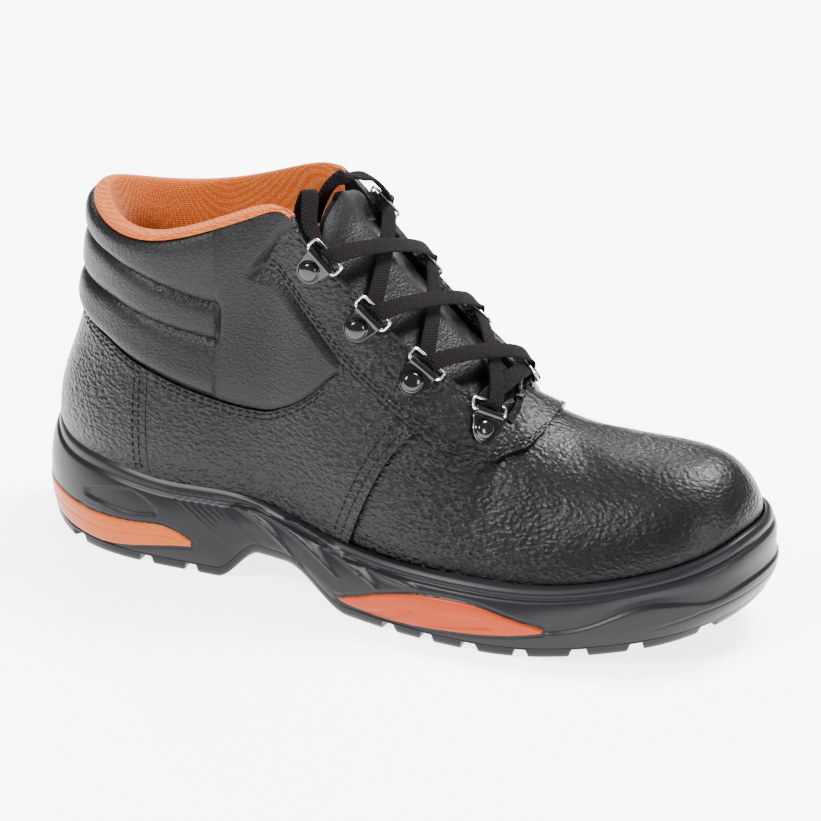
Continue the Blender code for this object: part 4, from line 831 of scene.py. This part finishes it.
cuffTall = 95 * mm  # up the wall at the ankle, for v 0 to 1
cuff = dict(rise=0.75 * mm, under=0.2 * mm, fade=4.5 * mm, lip=2.0 * mm, inner=0.1 * mm)


# collar padding: three puffs behind the groove lines, one flat pad in front of them
def padDepth(u, v):
    place = fold(u)
    seam = collarSeam(u)
    low, high = softRow(puffRows, u, 1), softRow(puffRows, u, 2)
    full = 4.3 + 0.9 * smooth(10.0, 12.0, place)
    bands = ((seam, low, 1.0, 1.3), (low, high, 1.3, 1.3), (high, 1.0 + 0 * low, 1.3, 1.6))
    puff = np.zeros(u.shape)
    for a, b, start, end in bands:
        s = np.clip((v - a) / (b - a), 0.0, 1.0)
        dome = 1 - np.abs(2 * s - 1) ** 3.2
        base = start + (end - start) * s
        puff = np.where((v >= a) & (v <= b), base + (full - base) * dome ** 0.7, puff)
    s = np.clip((v - seam) / (1 - seam), 0.0, 1.0)
    dome = np.clip(1 - np.abs(2 * s - 1) ** 3.0, 0, 1)
    flat = 1.0 + (2.2 + 0.9 * smooth(8.6, 9.3, place)) * dome
    share = smooth(9.34, 9.4, place)
    slot = 1.6 * np.exp(-((place - 9.355) / 0.03) ** 2) * smooth(-0.02, 0.02, v - low) * (
        1 - smooth(-0.02, 0.02, v - high))
    return (flat * (1 - share) + puff * share - slot) * mm


# distance outside the eyestay, metres: the least one to the segments of its outer and rear edges
def beyondEyestay(place, v):
    scale = (22 * mm, cuffTall)
    corners = np.concatenate([eyestayEdge[4:], [(8.36, 1.0), (8.0, 1.12)]]) * scale
    x, y = place * scale[0], v * scale[1]
    best = np.full(x.shape, 1.0)
    for (ax, ay), (bx, by) in zip(corners[:-1], corners[1:]):
        dx, dy = bx - ax, by - ay
        s = np.clip(((x - ax) * dx + (y - ay) * dy) / (dx * dx + dy * dy), 0, 1)
        best = np.minimum(best, np.hypot(x - ax - s * dx, y - ay - s * dy))
    above = np.where(place < 8.36, 2.0, eyestayTop(place))
    inside = (place < 8.9) & (v > eyestayLine(place)) & (v < above)
    return np.where(inside, -best, best)


# cuff: closed skin whose outside stands over the upper by the padding, faded under the eyestay
def makeCollar():
    side = np.concatenate([np.linspace(7.8, 9.2, 80), np.linspace(9.2, 9.55, 30)[1:],
                           np.linspace(9.55, 14.0, 120)[1:]])
    u = np.concatenate([side, roundCount - side[-2::-1]])
    seam = collarSeam(u)
    s = np.linspace(0.0, 1.0, 96)[:, None]
    v = seam + (1.0 - seam) * s
    u = np.broadcast_to(u, v.shape)
    place = fold(u)
    fade = smooth(cuff["under"], cuff["fade"], beyondEyestay(place, v))
    lip = smooth(0.0, cuff["lip"], (v - seam) * cuffTall)
    depth = cuff["rise"] + (padDepth(u, v) - cuff["under"]) * fade * (0.35 + 0.65 * lip)
    outer, inner = skinPoint(u, v, depth), skinPoint(u, v, cuff["inner"] + 0 * u)
    made = makePiece("paddedCollar", [closedSkin(outer, inner)], "collar", ("padded_collar",))


# lining: place u where it starts; rows of the rolled rim as mm outwards and up, for the face and
# for its back; rows down the inside as mm below the rim and share of the padding
lining = dict(start=8.5, rim=((2.4, 0.4, 1.2, 0.3), (2.1, 1.5, 0.5, 0.5), (0.7, 2.5, -0.3, 0.6),
                              (-1.6, 2.9, -1.6, 0.6), (-4.4, 2.2, -2.9, 0.2)),
              inside=((5.0, 0.6), (12.0, 1.0), (22.0, 1.0), (31.0, 0.1)))


# rows round the collar splined into a closed skin that rolls over the edge and down the inside
def makeLining():
    u = np.linspace(lining["start"], roundCount - lining["start"], 260)
    top, n = upperSurface(u, 1.0), surfaceNormal(u, 1.0)
    level = unit(n * np.array([1.0, 1.0, 0.0]))
    up = np.array([0.0, 0.0, 1.0])
    pad = 1.5 * mm + 3.5 * mm * smooth(8.6, 9.8, fold(u))
    wall = shoe["wall"] + 0.8 * mm
    outer, inner = [], []
    fade = smooth(lining["start"], 9.1, fold(u))[:, None]
    for out, rise, back, under in lining["rim"]:
        outer.append(top + level * (out * fade - 1.2 * (1 - fade)) * mm
                     + up * (rise * fade + 0.5 * under * (1 - fade) + 0.3 * (1 - fade)) * mm)
        inner.append(top + level * back * mm + up * under * mm)
    for drop, share in lining["inside"]:
        v = placeAtHeight(u, (top[:, 2] - drop * mm)[None, :])[0]
        outer.append(overUpper(u, v, -(wall + 1.5 * mm + (pad - 1.5 * mm) * share)))
        inner.append(overUpper(u, v, -wall + 0 * u))
    at = np.linspace(0, 8, 64)
    made = makePiece("collarLining", [closedSkin(spline(np.array(outer), at),
                                                 spline(np.array(inner), at))], "lining",
                     ("collar_lining",))


# tongue: place u and lowest v of its sections, arch between the walls, place of its tip
tongue = dict(rows=((5.0, 0.62), (5.5, 0.64), (5.83, 0.68), (6.167, 0.76), (6.5, 0.8), (7.0, 0.84),
                    (7.5, 0.87), (8.0, 0.88)), under=1.9 * mm, arch=6.4 * mm, thick=3.2 * mm,
              edge=3 * mm, puff=1.0 * mm, tip=np.array([-30.0, 0.0, 156.5]) * mm)
throatSlope = np.array([-0.786, 0.0, 0.618])


# sections under the throat walls and arched between them, then a curve to the tip along which
# they narrow as an ellipse does; splined both ways and closed behind
def makeTongue():
    sink = -(shoe["wall"] + tongue["under"])
    sections = []
    for u, low in tongue["rows"]:
        swell = float(smooth(throatFront, 6.9, u)) * tongue["arch"]
        near = [overUpper(u, v, sink) for v in (low, 0.935)]
        far = [overUpper(roundCount - u, v, sink) for v in (0.935, low)]
        edges = [overUpper(u, 0.965, sink), overUpper(roundCount - u, 0.965, sink)]
        middle = 0.5 * (overUpper(u, 1.0, sink) + overUpper(roundCount - u, 1.0, sink))
        shoulder = [0.5 * e + 0.5 * middle + throatNormal * 0.45 * swell for e in edges]
        sections.append(near + [shoulder[0], middle + throatNormal * swell, shoulder[1]] + far)
    last = np.array(sections[-1])
    centre = last[3] * np.array([1.0, 0.0, 1.0])
    bend = centre + throatSlope * 9 * mm
    normals = [throatNormal] * len(sections)
    for s in (0.18, 0.36, 0.54, 0.7, 0.82, 0.91, 0.97, 1.0):
        middle = centre * (1 - s) ** 2 + bend * 2 * s * (1 - s) + tongue["tip"] * s ** 2
        share = (1 - 0.22 * s) * math.sqrt(max(1 - max((s - 0.5) / 0.502, 0.0) ** 2.6, 0.0))
        sections.append(middle + (last - centre) * np.array([1 - s, share, 1 - s * 0.8]))
        lean = throatNormal * (1 - s) + np.array([0.94, 0.0, 0.34]) * s
        normals.append(unit(lean))
    at = np.linspace(0, len(sections) - 1, 150)
    normals = spline(np.array(normals), at)[:, None]
    grid = spline(np.array([np.array(s) for s in sections]), at)
    outer = np.swapaxes(spline(np.swapaxes(grid, 0, 1), np.linspace(0, 6, 81)), 0, 1)
    middle = outer[:, 40, 1][:, None]
    across = outer[..., 1] - middle
    widest = np.abs(across).max(axis=1, keepdims=True)
    e = np.clip((1 - np.abs(across) / widest) * widest / tongue["edge"], 0, 1)
    puff = tongue["puff"] * np.sqrt(1 - (1 - e) ** 2)
    inner = outer - normals * tongue["thick"]
    inner[..., 1] = middle + across * (1 - 1.2 * mm / np.maximum(widest, 2 * mm))
    outer = outer + normals * (puff - 0.8 * mm)[..., None]
    made = makePiece("tonguePad", [closedSkin(outer, inner)], "collar", ("tongue",))


makeUpper()
makePanels()
makeCollar()
makeLining()
makeTongue()
print("stage: upper")

# orange inserts and pockets: place u, lower and upper edge above the floor in mm
heelRows = np.array(((9.62, 12.2, 14.8), (9.8, 11.4, 18.0), (10.04, 10.0, 19.8), (10.4, 7.6, 19.0),
                     (10.86, 5.2, 18.3), (11.3, 5.0, 18.4), (12.0, 6.0, 19.4), (12.5, 7.8, 19.8),
                     (13.0, 9.4, 20.2), (14.0, 10.6, 20.6)))
lensRows = np.array(((4.9, 13.2, 15.0), (5.1, 11.8, 16.6), (5.3, 10.5, 17.8), (5.72, 8.7, 20.4),
                     (6.12, 7.4, 21.1), (6.62, 6.0, 19.8), (7.1, 5.8, 15.4), (7.46, 6.3, 10.6),
                     (7.58, 7.2, 9.0)))
recessRows = np.array(((10.12, 23.6, 26.0), (10.45, 22.0, 31.0), (10.86, 22.6, 30.2),
                       (11.3, 23.8, 26.6)))
# raised lines on the waist: start, middle and end as place u and height mm, then width mm
ribRows = ((8.85, 33.5, 8.28, 29.4, 7.62, 17.5, 2.6), (7.86, 26.8, 7.42, 23.8, 7.06, 18.0, 2.4),
           (7.22, 24.8, 6.92, 23.2, 6.6, 22.4, 2.2), (8.4, 33.0, 7.9, 29.5, 7.3, 21.0, 1.6),
           (9.1, 33.0, 8.6, 28.0, 8.1, 15.5, 1.6))


# lower and upper edge of an insert at place u, splined through its rows
def insertEdges(rows, u):
    at = np.interp(fold(u), rows[:, 0], np.arange(len(rows)))
    return spline(rows[:, 1] * mm, at), spline(rows[:, 2] * mm, at)


# how far inside the edges of an insert a point lies, metres
def insideBy(rows, u, z):
    low, top = insertEdges(rows, u)
    ends = (fold(u) - rows[0, 0]) * placeRun * mm
    if rows[-1, 0] < half:
        ends = np.minimum(ends, (rows[-1, 0] - fold(u)) * placeRun * mm)
    return np.minimum(np.minimum(z - low, top - z), ends)


# side of the midsole: wavy step, groove under the rim, ribs, recess and pockets
def sideDepth(u, h, z):
    place = fold(u)
    wave = softRow(waveRows, u, 1, 0.3)
    step = 1.2 * (1 - smooth(4.6, 5.3, place)) * smooth(wave - 0.012, wave + 0.035, h)
    depth = step * (1 - smooth(wave + 0.1, 0.84, h))
    depth = depth + 0.9 * np.exp(-((h - 0.875) / 0.022) ** 2)
    depth = depth - 0.35 * np.exp(-((h - 0.955) / 0.03) ** 2)
    thin = np.interp(place, (1.0, 1.78, 2.38, 3.14, 3.6), (0.36, 0.37, 0.38, 0.33, 0.3))
    depth = depth + 0.3 * np.exp(-((h - thin) / 0.016) ** 2) * smooth(3.6, 3.0, place)
    for u0, z0, u1, z1, u2, z2, width in ribRows:
        s = np.linspace(0, 1, 25)
        lineU, lineZ = [(1 - s) ** 2 * a + 2 * s * (1 - s) * (2 * b - 0.5 * (a + c)) + s ** 2 * c
                        for a, b, c in ((u0, u1, u2), (z0, z1, z2))]
        near = np.full(u.shape, 1e3)
        for a, b, w in zip(lineU, lineZ, 0.35 + 0.65 * np.sin(np.pi * s)):
            near = np.minimum(near, np.hypot((place - a) * placeRun, z / mm - b) / w)
        depth = depth - 0.95 * np.exp(-(near / (0.55 * width)) ** 2)
    slant = place * placeRun - 1.13 * z / mm
    fan = smooth(184, 187, slant) * (1 - smooth(200, 204, slant)) * smooth(15, 19, z / mm)
    depth = depth - 0.45 * fan * (0.5 + 0.5 * np.cos(2 * np.pi * slant / 2.6)) ** 2 * (
        1 - smooth(0.9, 0.94, h))
    depth = depth + 1.1 * smooth(-0.4, 0.5, insideBy(recessRows, u, z) / mm)
    for rows in (heelRows, lensRows):
        inside = insideBy(rows, u, z) / mm
        lip = 0.45 * np.exp(-((inside + 0.5) / 0.55) ** 2)
        depth = depth + 2.6 * smooth(0.2, 1.2, inside) + lip
    return depth * mm


# faces of stacked rings, closed below and above by strips from one side of the shoe to the other
def stackedFaces(rings):
    count = rings.shape[1]
    i = np.arange(count // 2)
    strips = np.stack([i, i + 1, (count - i - 1) % count, (count - i) % count], axis=-1)
    faces = np.concatenate([gridFaces(len(rings), count, True), strips,
                            strips[:, ::-1] + (len(rings) - 1) * count])
    return [list(dict.fromkeys(f)) for f in faces.tolist()]


# cup sole: rings up the side, less its carved depth, then over the lip and down inside the cup
def makeMidsole():
    u = np.linspace(0, roundCount, 841)[:-1]
    low, top = floorHeight(along(outline(u)[:, 0])), rimHeight(u)
    split = (sole["outsole"] + 0.3 * mm) / (top - low)
    h = split[None] + (1 - split[None]) * np.linspace(0, 1, 76)[:, None]
    z = low + (top - low) * h
    depth = sideDepth(np.broadcast_to(u, h.shape), h, z) * smooth(1.0, 0.985, h)
    side = soleSide(u, z) - levelNormal(u)[None] * depth[..., None]
    rimPlace = placeAtHeight(u, top[None])[0]
    inner = overUpper(u, rimPlace, shoe["gap"] + 0 * u)
    lip = []
    for s in (0.25, 0.6, 0.9):
        line = side[-1] * (1 - s) + inner * s
        line[:, 2] = top + 0.25 * mm * math.sin(math.pi * s)
        lip.append(line)
    cup = [overUpper(u, rimPlace * share, shoe["gap"] + 0 * u)
           for share in (0.98, 0.72, 0.45, 0.2)]
    corner = overUpper(u, 0 * u, shoe["gap"] + 0 * u)
    corner[:, 2] = footLine(u)[:, 2] - shoe["gap"]
    rings = np.array(list(side) + lip + cup + [corner])
    makePiece("midsoleSide", [(rings.reshape(-1, 3), stackedFaces(rings))], "sole",
              ("midsole",), angle=50)


# how far inside a convex outline, mm: the least distance from its edges' lines
def insideShape(corners, u, z):
    corners = np.array(corners)
    area = np.roll(corners, -1, axis=0) - corners
    x, y = corners.T
    turn = np.sum(x * np.roll(y, -1) - y * np.roll(x, -1))
    best = np.full(u.shape, 1e3)
    for (a, b), (da, db) in zip(corners, area):
        d = (da * (z - b) - db * (u - a)) / math.hypot(da, db) * (1 if turn > 0 else -1)
        best = np.minimum(best, d)
    return best


# insert: a patch of the sole's side with a rounded edge and a carved face, closed behind
def insertPatch(rows, mirror, whole):
    start, end = rows[0, 0], rows[-1, 0]
    count, near = (320, 0.3) if whole else (200, 0.6)
    u = start + (end - start) * edgeRows(count, near)
    if whole:
        u = np.concatenate([u, roundCount - u[-2::-1]])
    elif mirror:
        u = roundCount - u
    low, top = insertEdges(rows, u)
    s = edgeRows(30, 0.5)[:, None]
    z = low + (top - low) * s
    side = soleSide(u, z)
    n = levelNormal(u)[None]
    wide = np.broadcast_to(u, z.shape)
    inside = insideBy(rows, wide, z) / mm
    e = np.clip(inside / 1.3, 0, 1)
    height = -1.1 + 1.45 * np.sqrt(1 - (1 - e) ** 2)
    if whole:
        height = height - 0.3 * np.exp(-((s - 0.55) / 0.05) ** 2) * smooth(0, 4, inside)
    else:
        place = fold(wide) * placeRun
        for marks in (((7.2, 6.9), (6.72, 13.6), (6.56, 13.6), (6.84, 6.7)),
                      ((6.42, 7.8), (6.26, 14.6), (5.72, 16.0), (5.56, 12.6))):
            shape = [(a * placeRun, b) for a, b in marks]
            height = height - 0.4 * smooth(-0.35, 0.35, insideShape(shape, place, z / mm))
    outer = side + n * (height * mm)[..., None]
    return closedSkin(outer, side - n * 4.2 * mm)


# the three inserts, the far one mirrored
def makeInserts():
    for name, rows, mirror, whole, target in (
            ("heelInsert", heelRows, False, True, "heel_insert"),
            ("lensNear", lensRows, False, False, "forefoot_insert_lateral"),
            ("lensFar", lensRows, True, False, "forefoot_insert_medial")):
        makePiece(name, [insertPatch(rows, mirror, whole)], "heelInsert" if whole else "insert",
                  (target,))


# tread: places and half widths of the grooves as shares of the length
treadRows = np.array(((0.078, 0.01), (0.19, 0.008), (0.255, 0.007), (0.548, 0.008), (0.602, 0.007),
                      (0.66, 0.009), (0.727, 0.007), (0.8, 0.009), (0.868, 0.007), (0.95, 0.008)))


# lug layer: rings round the shoe, closed across in strips, with its grooves pushed up
def makeOutsole():
    u = np.linspace(0, roundCount, 1301)[:-1]
    t = along(outline(u)[:, 0])
    low = floorHeight(t)
    away = np.abs(t[:, None] - treadRows[:, 0]) - treadRows[:, 1]
    notch = (1 - smooth(0.0, 0.003, away)).max(axis=1)
    bottom = low + notch * 3.7 * mm
    top = low + sole["outsole"]
    rows, n = [], levelNormal(u)
    for share, inset in ((0.0, 7.0), (0.0, 0.9), (0.1, 0.25), (0.25, 0.0), (0.6, 0.0), (1.0, 0.0)):
        z = bottom + (top - bottom) * share
        row = soleSide(u, z[None])[0] + n * (0.5 * mm * (1 - notch) * (share < 0.7))[:, None]
        row = row - n * (inset * mm)
        row[:, 2] = z
        rows.append(row)
    rings = np.array(rows)
    makePiece("outsoleLugs", [(rings.reshape(-1, 3), stackedFaces(rings))], "sole",
              ("outsole",), angle=35)


makeMidsole()
makeOutsole()
makeInserts()
print("stage: sole")


# rings of the plate and of the rivet as shares of their outlines and heights; rings of the folded
# loop as its wall, mm beyond it, and share of half its length
plateRows = ((0.0, 0.0), (0.98, 0.0), (1.0, 0.15), (1.0, 0.75), (0.965, 0.98), (0.9, 1.05),
             (0.82, 1.0))
rivetRows = ((1.16, 0.0), (1.1, 0.18), (1.0, 0.3), (0.96, 0.55), (0.84, 0.8), (0.62, 0.96),
             (0.34, 1.04), (0.0, 1.06))
pipeRows = (("inner", 0, 0), ("inner", 0, 1), ("inner", 0.25, 1.04), ("outer", -0.25, 1.04),
            ("outer", 0, 1), ("outer", 0, -1), ("outer", -0.25, -1.04), ("inner", 0.25, -1.04),
            ("inner", 0, -1), ("inner", 0, 0))


# clip: outlines stacked by height into a drop-shaped plate and domed rivet, and a turned loop;
# ring: a round wire along a rectangle with arcs at its corners
def makeHardware():
    angle, turn = 2 * np.pi * np.arange(64) / 64, 2 * np.pi * np.arange(32) / 32
    circle = np.stack([np.cos(angle), np.sin(angle)], axis=-1)
    for mirror in (False, True):
        label = "medial" if mirror else "lateral"
        for k, (u, v) in enumerate(clip["places"]):
            number = 4 - k
            spot, side, toward, n = clipFrame(u, v, mirror)
            reach = clip["reach"]
            squared = np.sign(circle) * np.abs(circle) ** 0.35
            upper = circle[:, 1:] > 0
            drop = np.where(upper, squared * np.array([1.0, reach / clip["radius"]]), circle)
            drop = drop * clip["radius"]
            flare = clip["flare"] * np.clip(drop[:, 1] / reach, 0, 1)
            drop[:, 0] += np.sign(drop[:, 0]) * flare
            plateRings = [(drop * share, height * clip["plate"]) for share, height in plateRows]
            plateRings += [(circle * share * clip["rivet"], clip["plate"] + height * clip["dome"])
                           for share, height in rivetRows]
            plate = np.array([np.concatenate([flat, np.full((64, 1), height)], 1)
                              for flat, height in plateRings])
            pipe = np.array([np.stack([np.full(32, 0.5 * clip["loop"] * x),
                                       reach + (clip[wall] + extra * mm) * np.cos(turn),
                                       clip["outer"] - 0.05 * mm
                                       + (clip[wall] + extra * mm) * np.sin(turn)], axis=-1)
                             for wall, extra, x in pipeRows])
            parts = [(inFrame(rings, spot, side, toward, n).reshape(-1, 3),
                      gridFaces(len(rings), rings.shape[1], True)) for rings in (plate, pipe)]
            makePiece("clip%d_%s" % (number, label), parts, "clip",
                      ("clip_%d_%s" % (number, label),), angle=35)
            pin, side, lean = ringFrame(u, v, mirror)
            wide, long, bend = 0.5 * ring["width"], ring["length"], ring["corner"]
            path = []
            corners = ((-wide + bend, bend, 1.0), (wide - bend, bend, 1.5),
                       (wide - bend, long - bend, 0.0), (-wide + bend, long - bend, 0.5))
            for cx, cy, start in corners:
                a = np.pi * (start + 0.5 * np.linspace(0, 1, 9))
                path.append(np.stack([cx + bend * np.cos(a), cy + bend * np.sin(a)], axis=-1))
            fine = np.concatenate(path + [path[0][:1]])
            steps = walked(fine)
            path = readAlong(np.linspace(0, steps[-1], 121)[:-1], steps, fine)
            path = pin + path[:, :1] * side + path[:, 1:] * lean
            points, faces = loopWire(path, np.cross(side, lean), 0.5 * ring["wire"])
            makePiece("ring%d_%s" % (number, label), [(points, faces)], "wire",
                      ("ring_%d_%s" % (number, label),))


makeHardware()
print("stage: hardware")


# stitch: half its length, width and height, and the step from one to the next
stitch = dict(half=1.2 * mm, wide=0.27 * mm, tall=0.24 * mm, step=3.3 * mm, margin=1.5 * mm)


# small capsules set at even steps along rows of points with normals
def makeStitches():
    rows = []

    def addRow(u, v, height):
        rows.append((skinPoint(u, v, height + 0 * u), surfaceNormal(u, v)))

    def both(u, v, height):
        addRow(u, v, height)
        addRow(roundCount - u, v, height)

    u = np.linspace(5.3, 8.84, 400)
    edge = eyestaySoft(u)
    for off in (2.0, 4.2):
        both(u, np.minimum(edge + off * mm / tallness(u, edge), 0.99), 2.45 * mm)
    u = np.linspace(5.86, 8.34, 300)
    both(u, 1.0 - 2.2 * mm / tallness(u, 0 * u + 0.97), 2.45 * mm)
    u = np.linspace(7.98, 10.18, 300)
    for off in (1.8, 3.9):
        both(u, collarSeam(u) - off * mm / tallness(u, collarSeam(u)), 1.95 * mm)
    u = np.linspace(10.34, roundCount - 10.34, 500)
    for off in (1.8, 3.9):
        addRow(u, collarSeam(u) - off * mm / tallness(u, collarSeam(u)), 1.95 * mm)
    r = np.linspace(0.0, 1.0, 160)
    for off in (0.09, 0.19):
        u = panel["frontFoot"] * (1 - r) + panel["frontTop"] * r + off
        both(u, 0.1 + (eyestayLine(u) - 0.13) * r, 1.95 * mm)
        u = 0 * r + 10.28 + off * 0.9
        both(u, 0.12 + (0.47 - 0.12) * r, 1.95 * mm)
    ends = np.array(((-1.0, 0.0), (-0.92, 0.6), (-0.5, 1.0), (0.5, 1.0), (0.92, 0.6), (1.0, 0.0)))
    turn = 2 * np.pi * np.arange(8) / 8
    shape = np.stack([np.broadcast_to(ends[:, :1], (6, 8)) * stitch["half"],
                      ends[:, 1:] * np.cos(turn) * stitch["wide"],
                      ends[:, 1:] * np.sin(turn) * stitch["tall"]], axis=-1)
    shape, pattern, parts = shape.reshape(-1, 3), gridFaces(6, 8, True), []
    for p, n in rows:
        steps = walked(p)
        at = np.arange(stitch["margin"], steps[-1] - stitch["margin"], stitch["step"])
        spot, lift = readAlong(at, steps, p), unit(readAlong(at, steps, n))
        forward = unit(readAlong(at + 0.5 * mm, steps, p) - spot)
        cross = np.cross(lift, forward)
        points = inFrame(shape[None], spot[:, None], forward[:, None], cross[:, None],
                         lift[:, None])
        faces = pattern[None] + np.arange(len(at))[:, None, None] * len(shape)
        parts.append((points.reshape(-1, 3), faces.reshape(-1, 4)))
    makePiece("seamStitches", parts, "thread", angle=80)


makeStitches()
print("stage: stitches")

# the board inside keeps its solid, with its edges rounded
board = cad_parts["insole"]
board = board if isinstance(board, bpy.types.Object) else bpy.data.objects["insole"]
board.data.materials.clear()
board.data.materials.append(skins["lining"])
bevel = board.modifiers.new("edge", "BEVEL")
bevel.width, bevel.segments, bevel.limit_method = 0.35 * mm, 2, "ANGLE"
bevel.angle_limit = math.radians(40)

# pale paper floor that glows a little, and four soft square lamps: place, side in m, watts
studio = dict(glow=3.6, sky=0.5, aim=Vector((0.0, 0.0, 0.06)), reach=6)
reach = studio["reach"]
floorMesh = bpy.data.meshes.new("floor")
floorMesh.from_pydata([(-reach, -reach, 0), (reach, -reach, 0), (reach, reach, 0),
                       (-reach, reach, 0)], [], [(0, 1, 2, 3)])
floor = bpy.data.objects.new("floor", floorMesh)
bpy.context.scene.collection.objects.link(floor)
paper, _, paperShader = newMaterial("whiteStudioPaper", 0.75)
paperShader.inputs["Base Color"].default_value = colour("#f4f4f4")
paperShader.inputs["Emission Color"].default_value = colour("#ffffff")
paperShader.inputs["Emission Strength"].default_value = studio["glow"]
floorMesh.materials.append(paper)
for name, spot, size, power in (
        ("keyLight", (-0.6, -1.1, 1.3), 0.45, 62), ("topLight", (0.45, 0.55, 1.3), 0.5, 75),
        ("sideLight", (1.5, -0.7, 0.7), 0.5, 22), ("backLight", (-0.7, 1.3, 1.0), 0.6, 40)):
    lamp = bpy.data.lights.new(name, "AREA")
    lamp.shape, lamp.size, lamp.energy = "SQUARE", size, power
    holder = bpy.data.objects.new(name, lamp)
    holder.location = spot
    holder.rotation_euler = (studio["aim"] - Vector(spot)).to_track_quat("-Z", "Y").to_euler()
    bpy.context.scene.collection.objects.link(holder)
world = bpy.data.worlds.new("studio")
world.use_nodes = True
sky = world.node_tree.nodes["Background"]
sky.inputs[0].default_value, sky.inputs[1].default_value = (1.0, 1.0, 1.0, 1.0), studio["sky"]
bpy.context.scene.world = world
